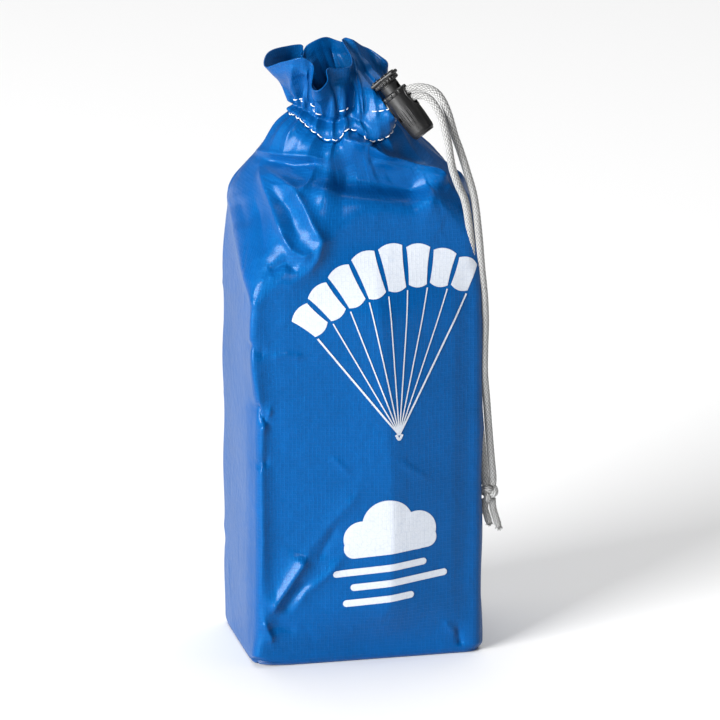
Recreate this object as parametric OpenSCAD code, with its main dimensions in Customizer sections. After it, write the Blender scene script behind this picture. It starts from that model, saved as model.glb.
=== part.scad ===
// Parafoil kite packed in its drawstring bag.
// Millimetres. +Z is up, +X is to the right of the printed front, which faces -Y.
// The origin is the middle of the flat base, on the surface that the bag stands on.

/* [Bag] */
// Width of the filled bag, left to right
bag_w = 80; // [76:1:88]
// Depth of the filled bag, front to back
bag_d = 53; // [50:1:60]
// Height of the neck seam, where the gathered casing starts
neck_z = 182; // [178:1:190]
// Height of the gathered casing and its ruffle above the neck seam
ruffle_h = 27; // [25:1:32]
// Wall of the cloth shell, backed by the packed kite
cloth = 1.2; // [0.8:0.1:1.6]
// Squareness of the bag's outline, higher is squarer
squareness = 5.5; // [3.5:0.5:8]

/* [Drawcord] */
// Diameter of the braided drawcord
cord_d = 2.6; // [2.2:0.1:2.8]
// Diameter of the overhand knot
knot_d = 6.6; // [6:0.2:8]
// Height of the overhand knot
knot_h = 7.2; // [6.4:0.2:9]

/* [Cord lock] */
// Outer diameter of the lock's barrel
barrel_d = 9; // [8.8:0.1:9.6]
// Length of the lock's barrel
barrel_h = 17.4; // [17:0.2:18.6]
// Travel of the lock's plunger
press = 3; // [2:0.2:3.2]
// Wire diameter of the lock's spring
wire_d = 0.6; // [0.4:0.1:0.7]

/* [Packed kite] */
// Length of the folded canopy roll
roll_h = 146; // [120:1:146]
// Turns of the canopy roll
roll_turns = 3; // [2:1:3]
// Width of the line winder
winder_w = 44; // [38:1:44]
// Height of the line winder
winder_h = 96; // [84:1:100]
// Thickness of the line winder
winder_t = 3.6; // [3:0.2:4]

/* [Hidden] */

blue = [0.02, 0.33, 0.70];
deep_blue = [0.02, 0.26, 0.60];
base_t = 1;
dw = (bag_w - 80) / 2;
dd = (bag_d - 53) / 2;
dz = neck_z - 182;

// ---------- small helpers ----------
function unit(v) = v / norm(v);
function sgn_pow(x, p) = sign(x) * pow(abs(x), p);
// Point at angle t on a superellipse with half sizes a and b.
function sup(a, b, n, t) = [a * sgn_pow(cos(t), 2 / n), b * sgn_pow(sin(t), 2 / n)];

// Closed solid through rings of equal count, capped at both ends.
module loft_closed(rings) {
    m = len(rings[0]);
    k = len(rings);
    polyhedron(
        points = [for (r = rings) each r],
        faces = concat(
            [[for (i = [m - 1:-1:0]) i]],
            [for (j = [0:k - 2], i = [0:m - 1]) each [
                [j * m + i, j * m + (i + 1) % m, (j + 1) * m + i],
                [j * m + (i + 1) % m, (j + 1) * m + (i + 1) % m, (j + 1) * m + i]]],
            [[for (i = [0:m - 1]) (k - 1) * m + i]]),
        convexity = 10);
}
// Closed ring-shaped solid: the rings follow each other right round its section.
module loft_ring(rings) {
    m = len(rings[0]);
    k = len(rings);
    polyhedron(
        points = [for (r = rings) each r],
        faces = [for (j = [0:k - 1], i = [0:m - 1]) each [
            [j * m + i, j * m + (i + 1) % m, ((j + 1) % k) * m + i],
            [j * m + (i + 1) % m, ((j + 1) % k) * m + (i + 1) % m, ((j + 1) % k) * m + i]]],
        convexity = 12);
}
// Smooth curve through route points, k steps to a segment.
function cat(p0, p1, p2, p3, t) = 0.5 * (2 * p1 + (p2 - p0) * t + (2 * p0 - 5 * p1 + 4 * p2 - p3) * t * t
    + (3 * p1 - p0 - 3 * p2 + p3) * t * t * t);
function smooth_route(P, k) = concat(
    [for (i = [0:len(P) - 2], s = [0:k - 1])
        cat(P[max(i - 1, 0)], P[i], P[i + 1], P[min(i + 2, len(P) - 1)], s / k)],
    [P[len(P) - 1]]);
function tangent(P, i) = unit(P[min(i + 1, len(P) - 1)] - P[max(i - 1, 0)]);
function perp(v, t) = unit(v - (v * t) * t);
function normals(P, i = 0, n = [0.2, 1, 0.1], out = []) = i == len(P) ? out :
    let (m = perp(n, tangent(P, i))) normals(P, i + 1, m, concat(out, [m]));
function tube_rings(P, r, sides) = let (N = normals(P)) [for (i = [0:len(P) - 1])
    let (t = tangent(P, i), n = N[i], b = cross(t, n))
        [for (s = [0:sides - 1]) P[i] + r * (cos(360 * s / sides) * n + sin(360 * s / sides) * b)]];
module tube(P, d, sides = 8) {
    loft_closed(tube_rings(P, d / 2, sides));
}
// Straight round rod from a to b.
module rod(a, b, d) {
    t = unit(b - a);
    translate(a) rotate([0, acos(t.z), atan2(t.y, t.x)]) cylinder(h = norm(b - a), d = d, $fn = 16);
}

// ---------- bag ----------
// Rows of the bag's outer shape: height, half width, half depth, offset in x, squareness.
bag_rows = [
    [base_t, 39.2, 25.7, 0, squareness],
    [4, 40, 26.5, 0, squareness],
    [24, 40, 26.5, 0, squareness],
    [50, 40, 26.5, 0, squareness],
    [76, 40, 26.5, 0, squareness],
    [102, 40, 26.5, 0, squareness],
    [126, 39.8, 26.3, 0, squareness],
    [142, 39.6, 26, 0, squareness - 0.7],
    [152, 39, 25.4, -0.2, 4.4],
    [158, 38, 24.6, -0.6, 4],
    [163, 36, 23.4, -1.2, 3.5],
    [168, 33, 21.6, -2, 3],
    [172, 29.6, 19.8, -2.8, 2.7],
    [176, 25.6, 17.8, -3.4, 2.4],
    [179.5, 21.6, 16, -3.6, 2.2],
    [182, 18, 14.6, -3.6, 2]
];
seg = 72;
function bag_ring(r, inset) = [for (i = [0:seg - 1])
    let (p = sup(r[1] + dw * (r[0] < 150 ? 1 : 0.5) - inset, r[2] + dd * (r[0] < 150 ? 1 : 0.5) - inset, r[4], i * 360 / seg))
        [p.x + r[3], p.y, r[0] < 120 ? r[0] : r[0] + dz]];

module bag_body() {
    k = len(bag_rows);
    color(blue) loft_ring(concat(
        [for (r = bag_rows) bag_ring(r, 0)],
        [for (i = [k - 1:-1:0]) bag_ring(bag_rows[i], cloth)]));
}

module base_panel() {
    w = bag_w - 2.2;
    d = bag_d - 2.2;
    c = 10.5;
    color(deep_blue) union() {
        translate([-w / 2 + c, -d / 2, 0]) cube([w - 2 * c, d, base_t]);
        translate([-w / 2, -d / 2 + c, 0]) cube([w, d - 2 * c, base_t]);
        for (x = [-1, 1], y = [-1, 1]) translate([x * (w / 2 - c), y * (d / 2 - c), 0]) cylinder(h = base_t, r = c, $fn = 48);
    }
}

// ---------- gathered mouth ----------
// Direction from the neck to the cord lock, and how far the cloth is pushed in there.
dent_a = -40;
function dent(t) = let (a = abs(((t - dent_a + 540) % 360) - 180)) exp(-pow(a / 30, 2));
// Rows of the casing's section: height above the seam, half width, half depth, offset in x, ruffle depth, push.
casing_rows = [
    [0, 18, 14.6, -3.6, 0, 0],
    [3, 17.4, 14.2, -3.8, 0.4, 0],
    [7, 17.2, 14, -4.6, 0.6, 1],
    [11, 18, 14.4, -6, 0.9, 2],
    [16, 19.6, 15.2, -8.4, 1.2, 3],
    [21, 20.6, 15.8, -9.6, 1.5, 3.4],
    [27, 21, 16, -10, 1.6, 3.4],
    [27, 19.4, 14.4, -10, 1.6, 3.4],
    [21, 18.4, 13.6, -9.6, 1.4, 2.8],
    [15, 15.2, 11, -8, 1, 1.6],
    [10, 10, 7, -5.6, 0.4, 0.4],
    [8, 6, 3.6, -4.4, 0, 0],
    [6.2, 6, 3.6, -4.2, 0, 0],
    [6.2, 15, 11.8, -4.2, 0, 0],
    [2.4, 15, 11.8, -3.8, 0, 0],
    [2.4, 6, 3.6, -3.8, 0, 0],
    [0, 6, 3.6, -3.6, 0, 0]
];
function ruffle_z(h) = neck_z + (h > 8 ? 8 + (h - 8) * (ruffle_h - 8) / 19 : h);
function casing_pt(r, t) = let (
    w = r[4] * cos(9 * t) - r[5] * dent(t),
    p = sup(r[1] + w, r[2] + w, 2, t)) [p.x + r[3], p.y, ruffle_z(r[0])];
function mix(a, b, k) = a * (1 - k) + b * k;
module mouth_casing() {
    color(blue) difference() {
        loft_ring([for (r = casing_rows) [for (i = [0:seg - 1]) casing_pt(r, i * 360 / seg)]]);
        // Slit in the casing's outer wall, where both runs of the drawcord come out.
        translate([-3.8, 0, neck_z + 2.5]) rotate([0, 0, -54]) translate([9, -4.4, 0]) cube([10, 8.8, 6.6]);
    }
}
// Two rows of stitches, one below and one above the drawcord channel.
function stitch_pt(row, t) = row == 0 ? casing_pt(mix(casing_rows[0], casing_rows[1], 0.5), t)
    : casing_pt(mix(casing_rows[2], casing_rows[3], 0.5), t);
module casing_stitching() {
    color("white") for (row = [0, 1], i = [0:35]) {
        a = i * 10 - 3;
        b = a + 6.4;
        rod(stitch_pt(row, a), stitch_pt(row, b), 0.5);
    }
}

// ---------- cord lock frame ----------
// Unit vectors: along the cord through the lock, across it, and up the lock towards the plunger.
lock_up = unit([-0.535, 0.355, 0.766]);
lock_x = perp([0.683, -0.353, 0.641], lock_up);
lock_y = cross(lock_up, lock_x);
// Middle of the lock's cord slot.
lock_at = [12.6, -18, 193 + dz];
slot_z = 13.5;
slot_w = cord_d + 0.7;
slot_h = 2 * cord_d + 0.8;
bore_d = barrel_d - 2.4;
stem_d = bore_d - 0.16;
module lock_frame() {
    multmatrix([
        [lock_x.x, lock_y.x, lock_up.x, lock_at.x],
        [lock_x.y, lock_y.y, lock_up.y, lock_at.y],
        [lock_x.z, lock_y.z, lock_up.z, lock_at.z],
        [0, 0, 0, 1]]) translate([0, 0, -slot_z]) children();
}
// Slot with round ends along the lock's x, from height z0 to z1.
module slot(z0, z1, w, x0 = -8) {
    translate([x0, 0, 0]) union() {
        translate([0, -w / 2, z0 + w / 2]) cube([8 - x0, w, z1 - z0 - w]);
        for (z = [z0 + w / 2, z1 - w / 2]) translate([0, 0, z]) rotate([0, 90, 0]) cylinder(h = 8 - x0, d = w, $fn = 32);
    }
}
module lock_barrel() {
    r = barrel_d / 2;
    color("#1b1b1c") lock_frame() difference() {
        rotate_extrude($fn = 64) polygon([
            [0, 0], [r - 1.5, 0], [r - 0.9, 0.2], [r - 0.45, 0.8], [r - 0.25, 1.6], [r, 6],
            [r, barrel_h - 1.5], [r - 0.15, barrel_h - 0.3], [r - 0.4, barrel_h], [0, barrel_h]]);
        translate([0, 0, 1.4]) cylinder(h = barrel_h, d = bore_d, $fn = 64);
        slot(slot_z - slot_h / 2, slot_z + slot_h / 2, slot_w);
        // The slot's lower lip is relieved where the cord turns down.
        slot(slot_z - slot_h / 2 - 0.9, slot_z, slot_w, bore_d / 2 - 0.1);
        // Moulding window low on the side.
        translate([0, 0, 8.2]) rotate([90, 0, -35]) cylinder(h = barrel_d, d = 1.8, $fn = 32);
    }
}
plunger_foot = slot_z - slot_h / 2 - 1.6;
plunger_top = barrel_h + press + 2.4;
module lock_plunger() {
    r = barrel_d / 2 - 0.2;
    color("#232325") lock_frame() difference() {
        union() {
            translate([0, 0, plunger_foot]) cylinder(h = plunger_top - 1 - plunger_foot, d = stem_d, $fn = 64);
            rotate_extrude($fn = 64) polygon([
                [0, plunger_top - 2.2], [r - 0.3, plunger_top - 2.2], [r, plunger_top - 1.9], [r, plunger_top - 0.9],
                [r - 0.4, plunger_top - 0.3], [r - 1.2, plunger_top], [0, plunger_top]]);
        }
        slot(slot_z - slot_h / 2, slot_z + slot_h / 2 + press, slot_w);
        // Grip grooves across the thumb face.
        for (x = [-2.2, 0, 2.2]) translate([x - 0.35, -6, plunger_top - 0.5]) cube([0.7, 12, 1]);
        // Spring seat.
        translate([0, 0, plunger_foot - 1]) cylinder(h = 1.4, d = stem_d - 1.6, $fn = 48);
    }
}
spring_d = stem_d - 2.2;
module lock_spring() {
    turns = 5;
    n = 60;
    z0 = 1.4 + wire_d / 2 + 0.05;
    z1 = plunger_foot + 0.4 - wire_d / 2 - 0.05;
    color("silver") lock_frame() tube(
        [for (i = [0:n]) let (a = 360 * turns * i / n, r = (spring_d - wire_d) / 2) [r * cos(a), r * sin(a), z0 + (z1 - z0) * i / n]],
        wire_d, 6);
}

// ---------- drawcord ----------
// A point given along the cord through the lock and up the lock, from the middle of the slot.
function at_lock(along, up) = lock_at + along * lock_x + up * lock_up;
half = cord_d / 2 + 0.2;
// Loop through the casing, and both runs through the lock: upper run, round the neck, lower run.
loop_z = neck_z + 4.3;
function loop_pt(a) = [-4 + 12.8 * cos(a), 9.6 * sin(a), loop_z];
loop_route = concat(
    [at_lock(5.2, half), at_lock(1, half), at_lock(-5.4, half), [6.2, -13.4, 188.6 + dz], [5.6, -9.8, 187 + dz]],
    [for (a = [-40:20:240]) loop_pt(a)],
    [[0.2, -11.4, 186.3 + dz], [4.4, -14.6, 186.6 + dz], at_lock(-5.6, -half), at_lock(1, -half), at_lock(5.2, -half)]);
module drawcord_loop() {
    color("whitesmoke") tube(loop_route, cord_d, 8);
}
// Free strands from the lock to the knot.
outer_route = [
    [17.2, -20.3, 198.1], [18.8, -21.2, 198.3], [21.4, -22.7, 197.9], [23.5, -23.9, 196.7], [25.1, -24.9, 194.6],
    [26.3, -25.5, 192], [27.3, -26, 189], [28.2, -26.3, 185.7], [29.1, -26.4, 182.4], [31.1, -26.5, 176.8],
    [33.3, -26.7, 169.8], [35.7, -26.6, 161.3], [37.9, -25, 147.1], [39.2, -23.8, 135.3], [40.3, -23.5, 125.2],
    [40.7, -23.4, 116.2], [40.5, -23.4, 107.2], [40.5, -23.4, 98.2], [41.4, -22.9, 89], [42.5, -21.9, 77.7],
    [43.5, -21.4, 67.5]];
inner_route = [
    [18.9, -21.6, 195.5], [20.5, -22.9, 195.1], [21.9, -24.3, 193.9], [23, -25.7, 192.1], [24.1, -26.9, 189.7],
    [24.9, -28, 186.9], [25.7, -28.7, 183.6], [26.4, -29.2, 179.9], [27, -29.2, 175.9], [27.9, -28.8, 171.6],
    [29.8, -28.2, 166.3], [32.5, -27.1, 160.2], [35.1, -24.7, 147], [36.4, -23.6, 135.2], [37.5, -23.4, 125.2],
    [38, -23.2, 116.1], [37.8, -23.2, 107.1], [37.8, -23.2, 98.1], [38.6, -22.7, 88.9], [39.7, -21.9, 77.7],
    [40.8, -21.4, 67.5]];
function shifted(P) = [for (p = P) p + [dw, -dd, dz * min(1, max(0, (p.z - 60) / 120))]];
knot_at = [42.8 + dw, -21.4 - dd, 55.5];
knot_top = knot_at.z + knot_h / 2;
module drawcord_strand_outer() {
    color("whitesmoke") tube(concat([at_lock(5.25, half)], shifted(outer_route),
        [for (z = [1.5, 0.08]) [knot_at.x + cord_d / 2 + 0.05, knot_at.y, knot_top + z]]), cord_d, 8);
}
module drawcord_strand_inner() {
    color("whitesmoke") tube(concat([at_lock(5.25, -half)], shifted(inner_route),
        [for (z = [1.5, 0.08]) [knot_at.x - cord_d / 2 - 0.05, knot_at.y, knot_top + z]]), cord_d, 8);
}
module drawcord_knot() {
    r = knot_d / 2;
    color("whitesmoke") translate([knot_at.x, knot_at.y, knot_at.z - knot_h / 2]) rotate_extrude($fn = 48) polygon([
        [0, 0], [r - 1.2, 0], [r - 0.5, 0.7], [r - 0.05, 2], [r, knot_h / 2], [r - 0.05, knot_h - 2], [r - 0.5, knot_h - 0.7], [r - 1.2, knot_h], [0, knot_h]]);
}
module drawcord_tails() {
    z = knot_at.z - knot_h / 2 - 0.08;
    color("whitesmoke") for (s = [-1, 1]) {
        x = knot_at.x + s * (cord_d / 2 + 0.05);
        tube([[x, knot_at.y, z], [x, knot_at.y, z - 1], [x + 0.8 + s * 0.1, knot_at.y, z - 4], [x + 1.8 + s * 0.3, knot_at.y, z - 7.5]], cord_d, 8);
    }
}

// ---------- packed kite ----------
// The canopy is folded to the roll's length and rolled flat: each layer is a band of an interleaved spiral.
pitch = 3.5;
roll_a = bag_w / 2 - cloth - 1.6;
roll_b = bag_d / 2 - cloth - 1.6;
roll_z = base_t + 0.2;
function roll_pt(t, off) = let (in = off + pitch * t / 360) sup(roll_a - in, roll_b - in, 3.4, t);
module roll_band(off, thick, t0, t1, h) {
    n = ceil((t1 - t0) / 7.5);
    translate([0, 0, roll_z]) linear_extrude(height = h) polygon(concat(
        [for (i = [0:n]) roll_pt(t0 + (t1 - t0) * i / n, off)],
        [for (i = [n:-1:0]) roll_pt(t0 + (t1 - t0) * i / n, off + thick)]));
}
module canopy_top_skin() {
    color([0.86, 0.16, 0.14]) roll_band(0, 1.2, 0, 360 * roll_turns, roll_h);
}
module canopy_bottom_skin() {
    color([0.95, 0.76, 0.12]) roll_band(2, 1.2, 0, 360 * roll_turns, roll_h);
}
module cell_ribs() {
    color([0.15, 0.35, 0.75]) for (k = [0:roll_turns * 2 - 1])
        roll_band(1.35, 0.5, 20 + 180 * k, 20 + 180 * k + 130, roll_h - 6);
}
module winder_outline() {
    w = winder_w / 2;
    h = winder_h / 2;
    difference() {
        union() {
            square([winder_w - 8, winder_h], center = true);
            square([winder_w, winder_h - 8], center = true);
            for (x = [-1, 1], y = [-1, 1]) translate([x * (w - 4), y * (h - 4)]) circle(d = 8, $fn = 48);
        }
        // Deep notches above and below the web, where the line is wound over.
        for (s = [-1, 1]) {
            translate([0, s * (h + 2)]) square([winder_w - 20, 44], center = true);
            translate([0, s * (h - 20)]) circle(d = 4, $fn = 32);
        }
    }
}
winder_z = 54;
module line_winder() {
    color([0.93, 0.42, 0.08]) translate([0, winder_t / 2, winder_z]) rotate([90, 0, 0]) difference() {
        linear_extrude(height = winder_t) winder_outline();
        // Line anchor hole through one side bar.
        translate([winder_w / 2 - 5, winder_h / 2 - 10, -1]) cylinder(h = winder_t + 2, d = 2.4, $fn = 32);
    }
}
web_h = winder_h - 40;
module flying_line() {
    w = winder_w - 21;
    r = winder_t / 2 + 2.6;
    color([0.93, 0.93, 0.9]) translate([-w / 2, 0, winder_z]) difference() {
        union() {
            translate([0, -r, -web_h / 2 - 0.4]) cube([w, 2 * r, web_h + 0.8]);
            for (s = [-1, 1]) translate([0, 0, s * (web_h / 2 + 0.4)]) rotate([0, 90, 0]) cylinder(h = w, r = r, $fn = 48);
        }
        translate([-1, -winder_t / 2 - 0.1, -web_h / 2 - 2.6]) cube([w + 2, winder_t + 0.2, web_h + 5.2]);
    }
}
// Ribbon tail folded to and fro: n + 1 layers of height h, joined in turn at the top and the bottom.
module zigzag(n, h, t, gap) {
    p = t + gap;
    linear_extrude(height = 22) union() {
        for (i = [0:n]) translate([i * p, 0]) square([t, h]);
        for (i = [0:n - 1]) translate([i * p, i % 2 == 0 ? h - t : 0]) square([p + t, t]);
    }
}
tail_h = 72;
module ribbon_tail(side) {
    // Folded ribbon standing on edge against the wound line.
    t = 0.45;
    gap = 0.2;
    n = 4;
    y0 = side > 0 ? winder_t / 2 + 2.6 + 0.3 : -(winder_t / 2 + 2.6 + 0.3) - (n * (t + gap) + t);
    translate([-11, y0, 20]) multmatrix([[0, 0, 1, 0], [1, 0, 0, 0], [0, 1, 0, 0], [0, 0, 0, 1]]) zigzag(n, tail_h, t, gap);
}
module tail_left() {
    color([0.98, 0.80, 0.10]) ribbon_tail(-1);
}
module tail_right() {
    color([0.88, 0.15, 0.13]) ribbon_tail(1);
}
// Three triangular keels folded flat, above the winder.
module bridle_keels() {
    color([0.10, 0.30, 0.72]) for (k = [0:2]) translate([0, -1.6 - 1.1 * k, 105]) rotate([90, 0, 0])
        linear_extrude(height = 0.7) polygon([[-20 + 2 * k, 36], [20 - 2 * k, 36], [2, 0], [-2, 0]]);
}
// Bridle coiled into a flat hank beside the keels.
module bridle_hank() {
    color([0.95, 0.95, 0.92]) translate([0, 4.6, 122]) rotate([90, 0, 0]) difference() {
        linear_extrude(height = 4.4) union() {
            square([24, 18], center = true);
            for (s = [-1, 1]) translate([s * 12, 0]) circle(d = 18, $fn = 48);
        }
        translate([0, 0, -1]) linear_extrude(height = 7) union() {
            square([24, 9], center = true);
            for (s = [-1, 1]) translate([s * 12, 0]) circle(d = 9, $fn = 48);
        }
    }
}

bag_body();
base_panel();
mouth_casing();
casing_stitching();
drawcord_loop();
drawcord_strand_outer();
drawcord_strand_inner();
drawcord_knot();
drawcord_tails();
lock_barrel();
lock_plunger();
lock_spring();
canopy_top_skin();
canopy_bottom_skin();
cell_ribs();
bridle_keels();
bridle_hank();
tail_left();
tail_right();
line_winder();
flying_line();
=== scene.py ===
import math

import bpy
import numpy as np
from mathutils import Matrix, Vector


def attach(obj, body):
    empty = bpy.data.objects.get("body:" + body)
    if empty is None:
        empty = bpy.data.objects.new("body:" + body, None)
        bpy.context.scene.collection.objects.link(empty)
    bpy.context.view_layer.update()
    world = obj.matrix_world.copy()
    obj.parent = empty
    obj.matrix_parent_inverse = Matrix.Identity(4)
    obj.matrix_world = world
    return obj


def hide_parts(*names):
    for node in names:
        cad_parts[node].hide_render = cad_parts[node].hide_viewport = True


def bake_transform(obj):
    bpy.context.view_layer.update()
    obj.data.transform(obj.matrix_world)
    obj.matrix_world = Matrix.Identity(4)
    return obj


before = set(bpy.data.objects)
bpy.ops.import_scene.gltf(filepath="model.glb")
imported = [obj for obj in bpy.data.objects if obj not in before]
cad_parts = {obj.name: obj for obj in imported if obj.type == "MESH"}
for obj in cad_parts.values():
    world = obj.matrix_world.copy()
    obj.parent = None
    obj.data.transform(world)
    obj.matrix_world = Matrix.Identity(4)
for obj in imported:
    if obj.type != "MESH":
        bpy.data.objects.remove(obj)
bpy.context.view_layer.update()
MM = 0.001
rng = np.random.default_rng(7)

# ------------------------------------------------------------------ camera
# Right, up and towards-the-camera directions of the three-quarter view.
RIGHT = np.array([0.976, -0.218, 0.0])
UP = np.array([0.0627, 0.2804, 0.958])
BACK = np.array([-0.209, -0.935, 0.287])
scene = bpy.context.scene
scene.view_settings.view_transform = "Standard"
scene.view_settings.look = "None"
cam_data = bpy.data.cameras.new("camera")
cam_data.lens, cam_data.sensor_width = 324.5, 36
cam_data.clip_start, cam_data.clip_end = 0.05, 30
cam = bpy.data.objects.new("camera", cam_data)
scene.collection.objects.link(cam)
AIM = Vector((0.0028, 0.0, 0.0985))
cam.location = AIM + Vector(BACK) * 2.2
cam.rotation_euler = (-Vector(BACK)).to_track_quat("-Z", "Y").to_euler()
scene.camera = cam


# ------------------------------------------------------------------ mesh helpers
def unit(v):
    v = np.asarray(v, float)
    return v / np.maximum(np.linalg.norm(v, axis=-1, keepdims=True), 1e-12)


def smooth(x, a=0.0, b=1.0):
    t = np.clip((np.asarray(x, float) - a) / (b - a), 0, 1)
    return t * t * (3 - 2 * t)


def mesh_obj(name, verts, faces, uv=None, smooth_shade=True):
    """verts in mm; faces as an index array or list; uv per loop."""
    me = bpy.data.meshes.new(name)
    me.from_pydata((np.asarray(verts, float) * MM).tolist(), [], [tuple(int(i) for i in f) for f in faces])
    if uv is not None:
        layer = me.uv_layers.new(name="uv")
        layer.data.foreach_set("uv", np.asarray(uv, np.float32).ravel())
    if smooth_shade:
        me.polygons.foreach_set("use_smooth", [True] * len(me.polygons))
    me.validate()
    me.update()
    ob = bpy.data.objects.new(name, me)
    scene.collection.objects.link(ob)
    return ob


def grid_parts(P, closed, U=None, V=None, flip=False):
    """Faces and loop uvs of a rows x cols grid; closed joins the last column to the first."""
    R, C = P.shape[:2]
    n = C if closed else C - 1
    r, c = np.meshgrid(np.arange(R - 1), np.arange(n), indexing="ij")
    c2 = (c + 1) % C
    f = np.stack([r * C + c, r * C + c2, (r + 1) * C + c2, (r + 1) * C + c], -1).reshape(-1, 4)
    uv = None
    if U is not None:
        uv = np.stack([
            np.stack([U[r, c], V[r, c]], -1), np.stack([U[r, c + 1], V[r, c2]], -1),
            np.stack([U[r + 1, c + 1], V[r + 1, c2]], -1), np.stack([U[r + 1, c], V[r + 1, c]], -1)], 2).reshape(-1, 4, 2)
    if flip:
        f = f[:, ::-1]
        uv = None if uv is None else uv[:, ::-1]
    return f, uv


def catmull(P, step, closed=False):
    """Even points along a smooth curve through P (mm)."""
    P = np.asarray(P, float)
    n = len(P)
    out = []
    for i in range(n if closed else n - 1):
        if closed:
            a, b, c, d = P[(i - 1) % n], P[i], P[(i + 1) % n], P[(i + 2) % n]
        else:
            a = P[i - 1] if i else 2 * P[0] - P[1]
            b, c = P[i], P[i + 1]
            d = P[i + 2] if i + 2 < n else 2 * P[-1] - P[-2]
        # centripetal spacing keeps uneven points from looping
        ta = 0.0
        tb = ta + max(np.linalg.norm(b - a), 1e-6) ** 0.5
        tc = tb + max(np.linalg.norm(c - b), 1e-6) ** 0.5
        td = tc + max(np.linalg.norm(d - c), 1e-6) ** 0.5
        for t in np.linspace(tb, tc, 24, endpoint=False):
            A1 = (tb - t) / (tb - ta) * a + (t - ta) / (tb - ta) * b
            A2 = (tc - t) / (tc - tb) * b + (t - tb) / (tc - tb) * c
            A3 = (td - t) / (td - tc) * c + (t - tc) / (td - tc) * d
            B1 = (tc - t) / (tc - ta) * A1 + (t - ta) / (tc - ta) * A2
            B2 = (td - t) / (td - tb) * A2 + (t - tb) / (td - tb) * A3
            out.append((tc - t) / (tc - tb) * B1 + (t - tb) / (tc - tb) * B2)
    out.append(P[0] if closed else P[-1])
    out = np.array(out)
    L = np.r_[0, np.cumsum(np.linalg.norm(np.diff(out, axis=0), axis=1))]
    k = max(3, int(round(L[-1] / step)))
    t = np.linspace(0, L[-1], k + 1)
    res = np.stack([np.interp(t, L, out[:, j]) for j in range(3)], 1)
    return res[:-1] if closed else res


def frames(Q, closed=False):
    T = np.gradient(Q, axis=0) if not closed else np.roll(Q, -1, 0) - np.roll(Q, 1, 0)
    T = unit(T)
    N = np.zeros_like(Q)
    n = np.array([0.3, -1.0, 0.2])
    for i in range(len(Q)):
        n = n - (n @ T[i]) * T[i]
        n = n / np.linalg.norm(n)
        N[i] = n
    return T, N, np.cross(T, N)


def tube(name, Q, r, sides=20, caps=True, braid=0.0, closed=False, flat=1.0):
    """Tube along even points Q. braid is the height of the woven relief. uv is in turns and millimetres."""
    T, N, B = frames(Q, closed)
    k = len(Q)
    r = np.broadcast_to(np.asarray(r, float), (k,))
    ang = np.linspace(0, 2 * np.pi, sides, endpoint=False)
    L = np.r_[0, np.cumsum(np.linalg.norm(np.diff(Q, axis=0), axis=1))]
    rr = np.repeat(r[:, None], sides, 1)
    if braid:
        a = ang[None] / (2 * np.pi) * 8 + L[:, None] / 1.55
        b = ang[None] / (2 * np.pi) * 8 - L[:, None] / 1.55
        over = ((np.floor(a) + np.floor(b)) % 2)
        pa, pb = np.abs(np.sin(np.pi * a)), np.abs(np.sin(np.pi * b))
        rr = rr + braid * (np.where(over > 0, pa, pb) ** 0.6 - 0.75)
    P = Q[:, None] + rr[..., None] * (np.cos(ang)[None, :, None] * N[:, None] + flat * np.sin(ang)[None, :, None] * B[:, None])
    U = np.repeat((np.arange(sides + 1) / sides)[None], k, 0)
    V = np.repeat(L[:, None], sides, 1)
    f, uv = grid_parts(P, True, U, V)
    V2 = P.reshape(-1, 3)
    faces, uvs = f.tolist(), uv.reshape(-1, 2).tolist()
    if caps and not closed:
        for row, c, sgn in ((0, Q[0] - T[0] * r[0] * 0.45, -1), (k - 1, Q[-1] + T[-1] * r[-1] * 0.45, 1)):
            idx = len(V2)
            V2 = np.vstack([V2, c])
            for i in range(sides):
                a1, a2 = row * sides + i, row * sides + (i + 1) % sides
                faces.append((a2, a1, idx) if sgn < 0 else (a1, a2, idx))
                uvs += [[i / sides, L[row]], [(i + 1) / sides, L[row]], [(i + .5) / sides, L[row] + sgn * .3]]
    ob = mesh_obj(name, V2, faces, uvs)
    return ob


def join(name, obs):
    """One object from several, all without modifiers."""
    verts, faces, uvs, off = [], [], [], 0
    for o in obs:
        me = o.data
        co = np.zeros(len(me.vertices) * 3)
        me.vertices.foreach_get("co", co)
        verts.append(co.reshape(-1, 3) / MM)
        for p in me.polygons:
            faces.append([v + off for v in p.vertices])
        lay = me.uv_layers.active
        if lay:
            uv = np.zeros(len(lay.data) * 2)
            lay.data.foreach_get("uv", uv)
            uvs.append(uv.reshape(-1, 2))
        else:
            uvs.append(np.zeros((len(me.loops), 2)))
        off += len(me.vertices)
        bpy.data.objects.remove(o)
    return mesh_obj(name, np.vstack(verts), faces, np.vstack(uvs))


# ------------------------------------------------------------------ cords
LOCK_UP = unit([-0.535266, 0.355177, 0.766381])
LOCK_X = unit([0.682478, -0.352753, 0.640148])
LOCK_Y = np.cross(LOCK_UP, LOCK_X)
LOCK_AT = np.array([12.6, -18.0, 193.0])
CORD_D = 2.6
HALF = CORD_D / 2 + 0.2


def at_lock(x, up, y=0.0):
    return LOCK_AT + x * LOCK_X + y * LOCK_Y + up * LOCK_UP


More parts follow.
